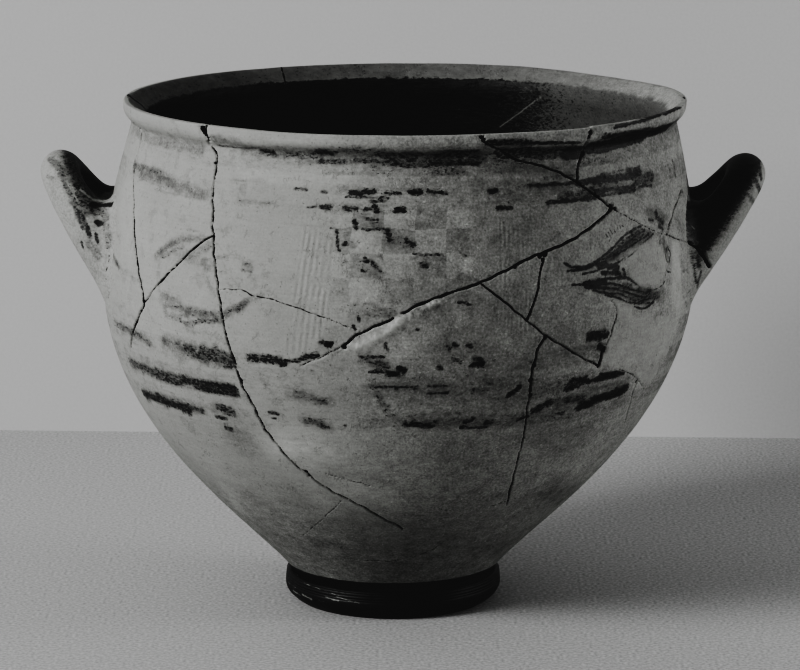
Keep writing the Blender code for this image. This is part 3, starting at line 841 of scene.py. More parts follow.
# Thin grey washes, where worn bands and circles still show as a tone
WASHES = (
    (130, 128, 150, 140, 5, 0.26), (150, 140, 200, 150, 6, 0.28), (212, 139, 242, 145, 5, 0.28),
    (244, 149, 300, 154, 6.5, 0.26), (300, 155, 400, 158, 8.5, 0.30), (400, 158, 480, 157, 9, 0.26),
    (134, 168, 165, 178, 7, 0.30), (165, 180, 205, 195, 6, 0.28), (238, 201, 268, 204, 2.5, 0.18),
    (232, 180, 268, 181, 2, 0.12), (155, 256, 166, 246, 4, 0.32), (166, 245, 182, 238, 4, 0.32),
    (182, 238, 204, 238, 3.5, 0.28), (203, 260, 205, 276, 3, 0.28), (205, 276, 213, 294, 3, 0.26),
    (228, 250, 244, 262, 3, 0.12), (244, 262, 250, 268, 3, 0.22), (248, 272, 256, 284, 3, 0.12),
    (162, 294, 186, 311, 5, 0.32), (186, 312, 218, 319, 5, 0.34), (220, 317, 242, 306, 4.5, 0.32),
    (242, 305, 261, 295, 3.5, 0.22), (112, 258, 122, 272, 3.5, 0.24), (122, 272, 140, 282, 3, 0.18),
    (158, 262, 158, 290, 3, 0.14), (170, 250, 196, 262, 5, 0.12), (120, 326, 150, 342, 6, 0.24),
    (166, 343, 228, 362, 9, 0.34), (132, 364, 180, 380, 7, 0.32), (180, 380, 234, 392, 8, 0.34),
    (146, 394, 202, 411, 6, 0.30), (212, 408, 232, 412, 6, 0.22), (290, 394, 330, 402, 6, 0.18),
    (303, 420, 328, 428, 6, 0.20), (365, 360, 400, 372, 8, 0.22), (370, 390, 450, 390, 8, 0.18),
    (400, 424, 490, 424, 6, 0.20), (345, 212, 350, 228, 4, 0.12), (650, 212, 664, 218, 6, 0.30),
    (560, 268, 600, 268, 3, 0.16), (640, 292, 664, 296, 8, 0.28), (600, 264, 624, 252, 5, 0.34),
    (622, 252, 650, 234, 6, 0.30), (598, 286, 650, 298, 8, 0.34), (480, 166, 575, 172, 6, 0.22),
    (470, 184, 560, 186, 5, 0.20), (636, 176, 656, 180, 8, 0.22), (586, 146, 676, 126, 8, 0.25),
    (486, 146, 584, 150, 7, 0.25), (664, 240, 670, 262, 4, 0.24), (368, 225, 390, 240, 9, 0.14), (500, 245, 530, 220, 12, 0.10),
    (560, 405, 600, 392, 8, 0.28), (600, 392, 626, 384, 7, 0.28), (590, 340, 606, 350, 5, 0.26),
)


def spot_list(table, gap):
    """Places on the bowl along each line of a table, with their half thickness and strength."""
    spots = []
    for x0, y0, x1, y1, half, strength in table:
        for place in trace(bowl_surface, ((x0, y0), (x1, y1)), gap, 0.0):
            spots.append((place, half * PIXEL, strength))
    return spots, search_tree([spot[0] for spot in spots])


veils_and_light, veil_and_light_tree = spot_list(VEILS_AND_LIGHT, 5.0)
washes, wash_tree = spot_list(WASHES, 2.0)

mark_and_carve(bowl, paint_places, joint_places, outer_twin, lambda vertex: 0.0)
for label in ("inside", "cover", "fill", "veil_and_light", "edge"):
    bowl.verts.layers.float.new(label)
layers = bowl.verts.layers.float
inside_layer, cover_layer, fill_layer = layers["inside"], layers["cover"], layers["fill"]
veil_and_light_layer, edge_highlight_layer = layers["veil_and_light"], layers["edge"]
paint_layer, gap_layer, cut_layer = layers["paint"], layers["gap"], layers["cut"]
CREST_INNER_RADIUS = RIM_RADIUS - LIP_EDGE_DROP / 2 - CREST_WIDTH
OUTSIDE = -30.0
moves = {}
bowl.normal_update()
for vertex in bowl.verts:
    place = vertex.co
    angle, height = wall_place(place)
    degrees = math.degrees(angle)
    across = math.hypot(place.x - axis_at(place.z), place.y)
    beyond_lip = max(LIP_INNER_RADIUS - across, LIP_INNER_HEIGHT - height) / MM
    crest_width = 2.6 * MM * ease(60.0, 90.0, abs(degrees))
    on_face = across < CREST_INNER_RADIUS + 0.2 * MM + crest_width and height > LIP_INNER_HEIGHT - MM
    below_lip = height < LIP_INNER_HEIGHT + 0.5 * MM and across < outer_radius(height) - WALL / 2
    vertex[inside_layer] = beyond_lip if on_face or below_lip else OUTSIDE
    stops = LOWER_COVER if height < 0.24 else SHOULDER_COVER if height < 0.332 else LIP_COVER
    vertex[cover_layer] = cover_at(LIP_FACE_COVER if on_face else stops, degrees)
    spot = chart(place)
    vertex[fill_layer] = 0.0
    vertex[veil_and_light_layer] = 0.0
    rise = 0.0
    dip = 0.0
    if below_lip:
        vertex[gap_layer] = 6.0
        vertex[paint_layer] = 0.0
        vertex[cut_layer] = 0.0
    else:
        for pale, outline in fill_charts:
            vertex[fill_layer] = max(vertex[fill_layer], pale * inside_share(outline, spot, 3 * MM))
        dip = 0.85 * MM * ease(22 * MM, 7 * MM, lump_tree.find(place)[2])
        for centre, index, distance in lump_tree.find_range(place, 8 * MM):
            half, height_here = lump_places[index][1:]
            knob = 1.0 + 1.1 * noise.noise(place * 150) + 0.6 * noise.noise(place * 430)
            rise = max(rise, height_here * knob * ease(half * 1.3, 0.1 * half, distance))
        veiled = 0.0
        lightened = 0.0
        for centre, index, distance in veil_and_light_tree.find_range(place, 36 * MM):
            half, strength = veils_and_light[index][1:]
            share = strength * ease(half * 1.9, 0.0, distance)
            veiled = max(veiled, share)
            lightened = max(lightened, -share)
        washed = 0.0
        frayed = 1.4 * MM * noise.noise(place * 210)
        for centre, index, distance in wash_tree.find_range(place, 13 * MM):
            half, strength = washes[index][1:]
            washed = max(washed, strength * ease(half * 1.35, 0.45 * half, distance + frayed))
        vertex[veil_and_light_layer] = 1 - (1 - veiled) * (1 - washed) * (1 + lightened)
    # Where the painted highlight along the sherd's edge lies, and the joints seen inside
    vertex[edge_highlight_layer] = 0.0
    if on_face or below_lip:
        vertex[edge_highlight_layer] = ease(0.9 * MM, 0.1 * MM, edge_highlight_tree.find(place)[2])
        for centre, index, distance in inner_tree.find_range(place, 5 * MM):
            vertex[gap_layer] = min(vertex[gap_layer], (distance - inner_places[index][1]) / MM)
    lumpiness = ease(0.10 * MM, 1.10 * MM, rise)
    vertex[fill_layer] = max(vertex[fill_layer], 1.9 * lumpiness)
    unevenness = 0.45 * MM * noise.noise(place * 13) + 0.16 * MM * noise.noise(place * 45)
    turning = Vector((place.x * 9, place.y * 9, place.z * 190))
    rings = 0.16 * MM * noise.noise(turning)
    moves[vertex] = min(rise - dip - vertex[cut_layer] + unevenness + rings - 0.62 * MM, -0.08 * MM)

right_step = math.radians(39.0)
for vertex, move in moves.items():
    angle, height = wall_place(vertex.co)
    vertex.co += vertex.normal * move
    # The rim sags a little at the back right, and the sherd left of the rim step sits lower
    near_rim = ease(RIM_HEIGHT - 60 * MM, RIM_HEIGHT, height)
    vertex.co.z -= 1.5 * MM * near_rim * ease(0.50, 0.0, abs(angle - math.radians(127)))
    low_sherd = ease(right_step, right_step - 0.01, angle) * ease(0.25, 0.60, angle)
    vertex.co.z -= 0.7 * MM * near_rim * low_sherd


def finished(name, shape, material):
    """A smooth object from a shape, which stands in for the krater node."""
    for face in shape.faces:
        face.smooth = True
    mesh = bpy.data.meshes.new(name)
    shape.to_mesh(mesh)
    shape.free()
    mesh.materials.append(material)
    piece = bpy.data.objects.new(name, mesh)
    bpy.context.scene.collection.objects.link(piece)
    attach(piece, "root")
    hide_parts("krater")
    return piece


def number(tree, operation, first, second=None, third=None, clamp=False):
    """One sum on values or sockets."""
    inputs = {index: value for index, value in enumerate((first, second, third)) if value is not None}
    return shader_node(tree, "ShaderNodeMath", inputs, operation=operation, use_clamp=clamp).outputs[0]


def soft_step(tree, value, low, high):
    """0 at low, 1 at high and smooth between, where low may be the greater."""
    if low > high:
        return number(tree, "SUBTRACT", 1.0, soft_step(tree, value, high, low))
    inputs = {"Value": value, "From Min": low, "From Max": high}
    return shader_node(tree, "ShaderNodeMapRange", inputs, interpolation_type="SMOOTHSTEP").outputs[0]


def spread(tree, value, low, high, to_low, to_high):
    """A range of values mapped straight on to another."""
    inputs = {"Value": value, "From Min": low, "From Max": high, "To Min": to_low, "To Max": to_high}
    return shader_node(tree, "ShaderNodeMapRange", inputs).outputs[0]


def cloud(tree, vector, scale, detail, roughness=0.5):
    """Smooth noise between 0 and 1, mostly from 0.3 to 0.7."""
    inputs = {"Vector": vector, "Scale": scale, "Detail": detail, "Roughness": roughness}
    return shader_node(tree, "ShaderNodeTexNoise", inputs).outputs["Fac"]


def stretched(tree, vector, scale):
    """A vector scaled by its own factor along each axis."""
    return shader_node(tree, "ShaderNodeVectorMath", {0: vector, 1: scale}, operation="MULTIPLY").outputs[0]


def blend(tree, share, first, second):
    """A colour between two, by a share from 0 to 1."""
    node = shader_node(tree, "ShaderNodeMix", {0: share}, data_type="RGBA")
    for index, value in ((6, first), (7, second)):
        if isinstance(value, bpy.types.NodeSocket):
            tree.links.new(value, node.inputs[index])
        else:
            node.inputs[index].default_value = value
    return node.outputs[2]


def total(tree, operation, values):
    """One operation run along a list of values."""
    result = values[0]
    for value in values[1:]:
        result = number(tree, operation, result, value)
    return result


def effect(name, inputs, outputs):
    """A node group with the named value and vector inputs and value outputs."""
    tree = bpy.data.node_groups.new(name, "ShaderNodeTree")
    for label, kind in inputs:
        tree.interface.new_socket(label, in_out="INPUT", socket_type=kind)
    for label in outputs:
        tree.interface.new_socket(label, in_out="OUTPUT", socket_type="NodeSocketFloat")
    return tree, tree.nodes.new("NodeGroupInput").outputs, tree.nodes.new("NodeGroupOutput").inputs


VALUE = "NodeSocketFloat"
VECTOR = "NodeSocketVector"

# Grain of the fired clay: broad mottle, fine mottle, wheel marks, and dark and pale specks.
# Soiled clay is the more speckled.
clay_grain, given, result = effect("clay_grain", (("Place", VECTOR), ("Soiling", VALUE)), ("Tone", "Height"))
broad = spread(clay_grain, cloud(clay_grain, given["Place"], 15.0, 3.0), 0.3, 0.7, 0.93, 1.06)
patches = cloud(clay_grain, given["Place"], 120.0, 6.0, 0.68)
wheel = cloud(clay_grain, stretched(clay_grain, given["Place"], (22.0, 22.0, 620.0)), 1.0, 4.0, 0.6)
marks = spread(clay_grain, wheel, 0.3, 0.7, 0.96, 1.04)
specks = cloud(clay_grain, given["Place"], 620.0, 3.0, 0.7)
mottle = number(clay_grain, "ADD", number(clay_grain, "MULTIPLY", patches, 0.42), number(clay_grain, "MULTIPLY", specks, 0.75))
strength = spread(clay_grain, given["Soiling"], 0.0, 1.0, 0.45, 3.20)
mottle = number(clay_grain, "MULTIPLY_ADD", number(clay_grain, "SUBTRACT", mottle, 0.585), strength, 1.0)
dark_specks = soft_step(clay_grain, cloud(clay_grain, given["Place"], 700.0, 2.0), 0.66, 0.74)
pale_specks = soft_step(clay_grain, cloud(clay_grain, given["Place"], 460.0, 2.0), 0.68, 0.75)
pale_gain = spread(clay_grain, given["Soiling"], 0.0, 1.0, 0.12, 0.85)
scuffs = soft_step(clay_grain, cloud(clay_grain, given["Place"], 85.0, 6.0, 0.75), 0.56, 0.64)
tone = total(clay_grain, "MULTIPLY", [
    broad, mottle, marks, spread(clay_grain, scuffs, 0.0, 1.0, 1.0, 0.93), spread(clay_grain, dark_specks, 0.0, 1.0, 1.0, 0.62),
    number(clay_grain, "MULTIPLY_ADD", pale_specks, pale_gain, 1.0),
])
clay_grain.links.new(tone, result["Tone"])
fine = cloud(clay_grain, given["Place"], 1500.0, 3.0)
rough = number(clay_grain, "MULTIPLY_ADD", patches, 0.5, number(clay_grain, "MULTIPLY", fine, 0.25))
rough = number(clay_grain, "MULTIPLY_ADD", scuffs, -0.45, rough)
clay_grain.links.new(number(clay_grain, "MULTIPLY_ADD", wheel, 0.35, rough), result["Height"])

# Flaked paint: what coverage is left decides where whole flakes and where grey stains stay.
# Body is how thick the paint lies within the flakes.
flaked_paint, given, result = effect(
    "flaked_paint", (("Place", VECTOR), ("Coverage", VALUE)), ("Flake", "Stain", "Body")
)
brushed = stretched(flaked_paint, given["Place"], (1.0, 1.0, 1.9))
crumbs = number(flaked_paint, "SUBTRACT", cloud(flaked_paint, brushed, 380.0, 8.0, 0.72), 0.5)
level = number(flaked_paint, "MULTIPLY_ADD", crumbs, 2.7, given["Coverage"])
flaked_paint.links.new(soft_step(flaked_paint, level, 0.52, 0.76), result["Flake"])
haze = number(flaked_paint, "SUBTRACT", cloud(flaked_paint, brushed, 170.0, 6.0, 0.66), 0.5)
level = number(flaked_paint, "MULTIPLY_ADD", haze, 1.3, given["Coverage"])
flaked_paint.links.new(soft_step(flaked_paint, level, 0.05, 0.80), result["Stain"])
thick = cloud(flaked_paint, stretched(flaked_paint, given["Place"], (1.0, 1.0, 6.0)), 110.0, 7.0, 0.68)
flaked_paint.links.new(soft_step(flaked_paint, thick, 0.34, 0.62), result["Body"])

# Open joint: dark within the gap, with a narrow edge where the paint and slip have chipped off
open_joint, given, result = effect("open_joint", (("Place", VECTOR), ("Gap", VALUE)), ("Dark", "Chipped"))
ragged = cloud(open_joint, given["Place"], 500.0, 3.0)
edge = number(open_joint, "MULTIPLY_ADD", number(open_joint, "SUBTRACT", ragged, 0.5), 0.8, given["Gap"])
open_joint.links.new(soft_step(open_joint, edge, 0.22, -0.12), result["Dark"])
near = soft_step(open_joint, edge, 1.5, 0.3)
chipped = number(open_joint, "MULTIPLY", near, soft_step(open_joint, ragged, 0.48, 0.60))
open_joint.links.new(chipped, result["Chipped"])

CLAY = (0.310, 0.311, 0.303, 1.0)
THIN_PAINT = (0.070, 0.070, 0.069, 1.0)
WORN_BLACK = (0.046, 0.046, 0.045, 1.0)
DARK_PAINT = (0.017, 0.017, 0.017, 1.0)
LIP_GREY = (0.118, 0.118, 0.116, 1.0)
PLASTER = (0.350, 0.351, 0.342, 1.0)
FRESH_PLASTER = (0.450, 0.452, 0.440, 1.0)
CHIPPED_CLAY = (0.420, 0.421, 0.412, 1.0)
JOINT_DARK = (0.006, 0.006, 0.006, 1.0)


def shader_group(tree, group, inputs):
    """A node group placed in a tree with its inputs set."""
    node = tree.nodes.new("ShaderNodeGroup")
    node.node_tree = group
    for name, value in inputs.items():
        if isinstance(value, bpy.types.NodeSocket):
            tree.links.new(value, node.inputs[name])
        else:
            node.inputs[name].default_value = value
    return node.outputs


def layer_value(tree, name):
    """The value that a vertex layer holds."""
    return shader_node(tree, "ShaderNodeAttribute", attribute_name=name).outputs["Fac"]


def band(tree, height, low, high, soft=0.0012):
    """1 between two heights, with soft edges."""
    above = soft_step(tree, height, low - soft, low + soft)
    below = soft_step(tree, height, high + soft, high - soft)
    return number(tree, "MULTIPLY", above, below)


def wall_chart(tree, place):
    """Angle from the front in degrees and height in metres, with the lean taken out."""
    parts = shader_node(tree, "ShaderNodeSeparateXYZ", {0: place}).outputs
    share = number(tree, "POWER", number(tree, "DIVIDE", number(tree, "MAXIMUM", parts["Z"], 0.0), RIM_HEIGHT), LEAN_POWER)
    axis = number(tree, "MULTIPLY_ADD", share, LEAN, FOOT_CENTRE)
    across = number(tree, "SUBTRACT", parts["X"], axis)
    angle = number(tree, "ARCTAN2", across, number(tree, "MULTIPLY", parts["Y"], -1.0))
    return number(tree, "DEGREES", angle), parts["Z"]


def wandering(tree, place, value, scale, amount):
    """A value that wavers with the place, as a hand-drawn line does."""
    waver = number(tree, "SUBTRACT", cloud(tree, place, scale, 3.0), 0.5)
    return number(tree, "MULTIPLY_ADD", waver, amount, value)


def checker(tree, place, angle, height):
    """The chequered panel, cells of 5.9 degrees by 16.3 mm: where it is, and every other cell."""
    angle = wandering(tree, place, angle, 90.0, 1.6)
    height = wandering(tree, place, height, 110.0, 0.0050)
    column = number(tree, "MULTIPLY_ADD", angle, 1 / 5.87, 9.3 / 5.87 + 1.0)
    row = number(tree, "MULTIPLY_ADD", height, -1 / 0.0162, 0.3031 / 0.0162 + 1.0)
    cell = shader_node(tree, "ShaderNodeCombineXYZ", {0: column, 1: row, 2: 0.5}).outputs[0]
    parity = shader_node(tree, "ShaderNodeTexChecker", {"Vector": cell, "Scale": 1.0}).outputs["Fac"]
    within = number(tree, "MULTIPLY", band(tree, angle, -12.5, 12.6, 0.4), band(tree, height, 0.2371, 0.3172))
    fading = spread(tree, height, 0.245, 0.300, 0.35, 1.0)
    return number(tree, "MULTIPLY", within, fading), parity


def comb(tree, place, angle, height, left, right, bottom, top, gap):
    """Upright brush lines a few degrees apart in one field, as a soft wave from -1 to 1."""
    angle = wandering(tree, place, angle, 22.0, 1.3)
    wave = number(tree, "SINE", number(tree, "MULTIPLY", angle, 2 * math.pi / gap))
    within = number(tree, "MULTIPLY", band(tree, angle, left, right, 0.9), band(tree, height, bottom, top, 0.012))
    worn = soft_step(tree, cloud(tree, place, 70.0, 4.0), 0.38, 0.60)
    return number(tree, "MULTIPLY", wave, number(tree, "MULTIPLY", within, worn))


def circle_cover(tree, angle, height, centre_angle, centre_height):
    """Compass-drawn circles, three lines about one centre."""
    across = number(tree, "MULTIPLY", number(tree, "SUBTRACT", angle, centre_angle), math.radians(0.211))
    up = number(tree, "SUBTRACT", height, centre_height)
    squares = number(tree, "MULTIPLY_ADD", across, across, number(tree, "MULTIPLY", up, up))
    distance = number(tree, "SQRT", squares)
    rings = [band(tree, distance, radius - 0.0009, radius + 0.0009, 0.0009) for radius in (0.0235, 0.0275, 0.0315)]
    return number(tree, "MULTIPLY", total(tree, "MAXIMUM", rings), 0.20)


BANDS = ((0.3365, 0.3535), (0.3150, 0.3280), (0.2040, 0.2180), (0.1830, 0.1990), (0.1640, 0.1750))

bowl_skin, tree, output = blank_material("painted_bowl")
place = shader_node(tree, "ShaderNodeTexCoord").outputs["Object"]
angle, height = wall_chart(tree, place)
inside = layer_value(tree, "inside")
frayed = number(tree, "SUBTRACT", cloud(tree, place, 130.0, 5.0, 0.6), 0.5)
# The inner paint reaches further up on the right, where it is worn thin
worn_side = soft_step(tree, number(tree, "ABSOLUTE", number(tree, "SUBTRACT", angle, 112.0)), 72.0, 18.0)
mouth_depth = total(tree, "ADD", [
    inside, number(tree, "MULTIPLY", frayed, 7.0), number(tree, "MULTIPLY", worn_side, 2.2),
])
in_mouth = soft_step(tree, mouth_depth, -2.2, 1.0)
on_face = number(tree, "MULTIPLY", soft_step(tree, inside, -14.5, -12.0), number(tree, "SUBTRACT", 1.0, in_mouth))
outer_side = soft_step(tree, inside, -20.0, -26.0)
fill = number(tree, "MINIMUM", layer_value(tree, "fill"), 1.0)
bands = total(tree, "MAXIMUM", [band(tree, height, low, high) for low, high in BANDS])
bands = number(tree, "MULTIPLY", bands, outer_side)
panel, parity = checker(tree, place, angle, height)
dark_cells = number(tree, "MULTIPLY", panel, parity)
# The left field slants, by 28 degrees of angle to a metre of height
slanted = number(tree, "MULTIPLY_ADD", number(tree, "SUBTRACT", height, 0.2680), -28.0, angle)
left_comb = comb(tree, place, slanted, height, -19.6, -12.6, 0.2200, 0.3080, 1.16)
right_comb = comb(tree, place, angle, height, 18.3, 25.4, 0.2300, 0.3130, 0.90)
combs = number(tree, "MULTIPLY_ADD", left_comb, 0.55, right_comb)
covers = [
    number(tree, "MULTIPLY", number(tree, "MULTIPLY_ADD", on_face, 0.45, bands), layer_value(tree, "cover")),
    number(tree, "MULTIPLY", dark_cells, 0.24),
    number(tree, "MULTIPLY", combs, 0.08),
    circle_cover(tree, angle, height, -40.6, 0.2591),
]
# The bands and panels break up in patches, so that they don't end in straight lines
breaking = spread(tree, cloud(tree, place, 60.0, 4.0), 0.35, 0.6, 0.55, 1.15)
drawn = number(tree, "MULTIPLY", total(tree, "MAXIMUM", covers), breaking)
outside_cover = number(tree, "MAXIMUM", layer_value(tree, "paint"), drawn)
outside_cover = number(tree, "MULTIPLY", outside_cover, number(tree, "SUBTRACT", 1.0, fill))
inside_cover = spread(tree, worn_side, 0.0, 1.0, 1.45, 0.32)
foot_paint = number(tree, "MULTIPLY", soft_step(tree, height, 0.0290, 0.0270), 1.4)
cover = blend(tree, in_mouth, outside_cover, inside_cover)
cover = number(tree, "MAXIMUM", cover, foot_paint)
paint = shader_group(tree, flaked_paint, {"Place": place, "Coverage": cover})
# The lower wall is darker towards the foot, and soft veils lie on it, some of them painted light
darker_below = soft_step(tree, height, 0.132, 0.042)
veil_and_light = layer_value(tree, "veil_and_light")
towards_right = number(tree, "MULTIPLY", soft_step(tree, angle, -22.0, 12.0), soft_step(tree, angle, 176.0, 100.0))
soiling = total(tree, "MAXIMUM", [
    number(tree, "MULTIPLY", darker_below, 0.62), number(tree, "MULTIPLY", veil_and_light, 1.6),
    number(tree, "MULTIPLY", towards_right, 0.55),
])
soiling = number(tree, "MULTIPLY", soiling, number(tree, "MULTIPLY_ADD", fill, -0.7, 1.0))
grain = shader_group(tree, clay_grain, {"Place": place, "Soiling": soiling})
joint = shader_group(tree, open_joint, {"Place": place, "Gap": layer_value(tree, "gap")})
patchy = spread(tree, cloud(tree, stretched(tree, place, (1.0, 1.0, 2.2)), 90.0, 6.0, 0.66), 0.3, 0.7, 0.45, 1.55)
# Veils below zero lighten the wall, and under the lip's crest this lightening is painted light
veiled = number(tree, "MULTIPLY", veil_and_light, patchy)
mottled = number(tree, "MULTIPLY", parity, patchy)
cells = number(tree, "MULTIPLY", panel, number(tree, "MULTIPLY_ADD", mottled, -0.20, 0.10))
drawing = number(tree, "MULTIPLY_ADD", combs, -0.06, number(tree, "ADD", cells, 1.0))
# Darker towards the foot, in patches
darkening = spread(tree, number(tree, "MULTIPLY", darker_below, patchy), 0.0, 1.0, 1.0, 0.74)
shade = total(tree, "MULTIPLY", [grain["Tone"], darkening, number(tree, "SUBTRACT", 1.0, veiled), drawing])
base = blend(tree, fill, CLAY, PLASTER)
lump = soft_step(tree, layer_value(tree, "fill"), 1.0, 1.9)
base = blend(tree, lump, base, FRESH_PLASTER)
base = shader_node(tree, "ShaderNodeVectorMath", {0: base, "Scale": shade}, operation="SCALE").outputs[0]
stain = number(tree, "MULTIPLY", paint["Stain"], spread(tree, in_mouth, 0.0, 1.0, 0.62, 0.92))
stain = number(tree, "MAXIMUM", stain, number(tree, "MULTIPLY", in_mouth, 0.72))
colour = blend(tree, stain, base, THIN_PAINT)
face_grey = total(tree, "MULTIPLY", [on_face, layer_value(tree, "cover"), spread(tree, patchy, 0.45, 1.55, 0.8, 1.3)])
colour = blend(tree, face_grey, colour, LIP_GREY)
black = blend(tree, number(tree, "MAXIMUM", paint["Body"], foot_paint), WORN_BLACK, DARK_PAINT)
colour = blend(tree, paint["Flake"], colour, black)
chipped = number(tree, "MULTIPLY", joint["Chipped"], spread(tree, on_face, 0.0, 1.0, 0.35, 0.12))
colour = blend(tree, chipped, colour, CHIPPED_CLAY)
# A pale clay line painted along one sherd's edge inside the mouth, as its highlight
colour = blend(tree, number(tree, "MULTIPLY", layer_value(tree, "edge"), 0.7), colour, CLAY)
colour = blend(tree, joint["Dark"], colour, JOINT_DARK)
relief = number(tree, "MULTIPLY_ADD", combs, 0.45, grain["Height"])
bump = shader_node(tree, "ShaderNodeBump", {"Height": relief, "Strength": 0.7, "Distance": 0.0007})
skin = shader_node(tree, "ShaderNodeBsdfPrincipled", {
    "Base Color": colour,
    "Roughness": spread(tree, paint["Flake"], 0.0, 1.0, 0.78, 0.52),
    "Specular IOR Level": 0.35,
    "Normal": bump.outputs[0],
})
tree.links.new(skin.outputs[0], output.inputs["Surface"])

finished("bowl", bowl, bowl_skin)


# Ring foot. Turned on the wheel as one with the bowl: a rounded ring under a groove, with a
# shallow recess beneath, painted black all over and a little glossy.
FOOT_STANDING_RADIUS = 0.0695
FOOT_BULGE_RADIUS = 0.0780
FOOT_BULGE_HEIGHT = 0.0107
FOOT_SHOULDER_RADIUS = 0.0772
STANDING_RING_WIDTH = 0.0110
RECESS_DEPTH = 0.0120

# Heights of the fine turned lines round the foot
TURNED_LINES = (0.0191, 0.0172, 0.0150, 0.0134)
# Light scratches and chips on the black, and pale lines along the turned ridges that are painted highlights, in
# pixels
FOOT_CHIPS_AND_HIGHLIGHTS = (
    (290, 571, 310, 580, 0.8, -0.72), (304, 576, 346, 589, 0.6, -0.50), (304, 583, 322, 590, 0.7, -0.74),
    (312, 587, 340, 596, 0.6, -0.68), (292, 590, 300, 595, 1.4, -0.80), (302, 594, 312, 600, 1.2, -0.78),
    (326, 597, 338, 601, 1.1, -0.74), (334, 596, 354, 602, 0.7, -0.68), (346, 600, 360, 603, 0.8, -0.66),
    (456, 586, 478, 580, 0.7, -0.64), (288, 582, 296, 588, 0.9, -0.6), (416, 588, 430, 588, 0.5, -0.5),
    (318, 600, 330, 604, 0.8, -0.5), (366, 606, 372, 607, 0.7, -0.5),
)

ring_inner = FOOT_STANDING_RADIUS - STANDING_RING_WIDTH
recess = curve(
    (ring_inner, 0.0), (ring_inner - 4 * MM, RECESS_DEPTH), (ring_inner - 12 * MM, RECESS_DEPTH),
    (ring_inner - 24 * MM, RECESS_DEPTH), 10,
)
bulge = curve(
    (FOOT_BULGE_RADIUS, FOOT_BULGE_HEIGHT), (FOOT_BULGE_RADIUS, FOOT_BULGE_HEIGHT / 2),
    (FOOT_STANDING_RADIUS + 3.2 * MM, 1.8 * MM), (FOOT_STANDING_RADIUS, 0.0), 14,
)
shoulder = curve(
    (FOOT_SHOULDER_RADIUS, FOOT_HEIGHT), (FOOT_SHOULDER_RADIUS + 0.5 * MM, FOOT_HEIGHT - 3 * MM),
    (FOOT_BULGE_RADIUS, FOOT_BULGE_HEIGHT + 3 * MM), (FOOT_BULGE_RADIUS, FOOT_BULGE_HEIGHT), 26,
)
lined = []
for radius, height in shoulder:
    depth = sum(0.52 * MM * math.exp(-((height - line) / (0.45 * MM)) ** 2) for line in TURNED_LINES)
    lined.append((radius - depth, height))
ring_foot = turn(
    [(0.0, GROOVE_FLOOR), (GROOVE_RADIUS - 1.5 * MM, GROOVE_FLOOR), (GROOVE_RADIUS + 0.5 * MM, GROOVE_FLOOR)]
    + lined + bulge[1:] + recess + [(0.0, RECESS_DEPTH)],
    TURNS,
)
lean(ring_foot)
foot_surface = BVHTree.FromBMesh(ring_foot)
foot_chip_and_highlight_places = []
# The pale lines along the ridges are painted highlights, the rest chips and scratches
for x0, y0, x1, y1, half, strength in FOOT_CHIPS_AND_HIGHLIGHTS:
    for place in trace(foot_surface, ((x0, y0), (x1, y1)), 1.0, 0.6):
        foot_chip_and_highlight_places.append((place, half * PIXEL, strength))
refine(ring_foot, search_tree([place for place, half, strength in foot_chip_and_highlight_places]), 1.5 * MM, 0.8 * MM)
mark_and_carve(ring_foot, foot_chip_and_highlight_places, (), None, lambda vertex: 1.25)
for vertex in ring_foot.verts:
    wear = ease(0.15, 0.6, noise.noise(vertex.co * 90)) * 0.35 * MM
    vertex.co -= vertex.normal * (wear + 0.1 * MM) * ease(0.0, 2 * MM, vertex.co.z)

foot_skin, tree, output = blank_material("black_foot")
place = shader_node(tree, "ShaderNodeTexCoord").outputs["Object"]
paint = shader_group(tree, flaked_paint, {"Place": place, "Coverage": layer_value(tree, "paint")})
grain = shader_group(tree, clay_grain, {"Place": place, "Soiling": 0.4})
dulled = number(tree, "MULTIPLY", grain["Tone"], 0.48)
base = shader_node(tree, "ShaderNodeVectorMath", {0: CLAY[:3], "Scale": dulled}, operation="SCALE").outputs[0]
colour = blend(tree, paint["Flake"], base, DARK_PAINT)
bump = shader_node(tree, "ShaderNodeBump", {"Height": grain["Height"], "Strength": 0.4, "Distance": 0.0005})
skin = shader_node(tree, "ShaderNodeBsdfPrincipled", {
    "Base Color": colour, "Roughness": 0.46, "Specular IOR Level": 0.35, "Normal": bump.outputs[0],
})
tree.links.new(skin.outputs[0], output.inputs["Surface"])

finished("ring_foot", ring_foot, foot_skin)


# Handles. Each is a roll of clay bent to a loop and pressed on to the shoulder, where both ends
# are smoothed over on to the wall. They climb away from the shoulder. The right one is still
# black nearly all over, and the left one is black on its upper side.
HANDLE_ROOT_HEIGHT = 0.2450
HANDLE_SPAN = 0.0780
HANDLE_ROLL = 0.0290
HANDLE_SQUARENESS = 1.95
HANDLE_ROOT_FLARE = 1.70
HANDLE_FLARE_LENGTH = 0.0720
HANDLE_FLARE_POWER = 1.7
HANDLE_SEAT = 0.0058
HANDLE_BURIED = 0.0030
ROLL_SIDES = 56
# Side of the vessel, reach from the shoulder and climb of each loop
RIGHT_HANDLE = (1, 0.0770, math.radians(57.0))
LEFT_HANDLE = (-1, 0.0785, math.radians(58.2))


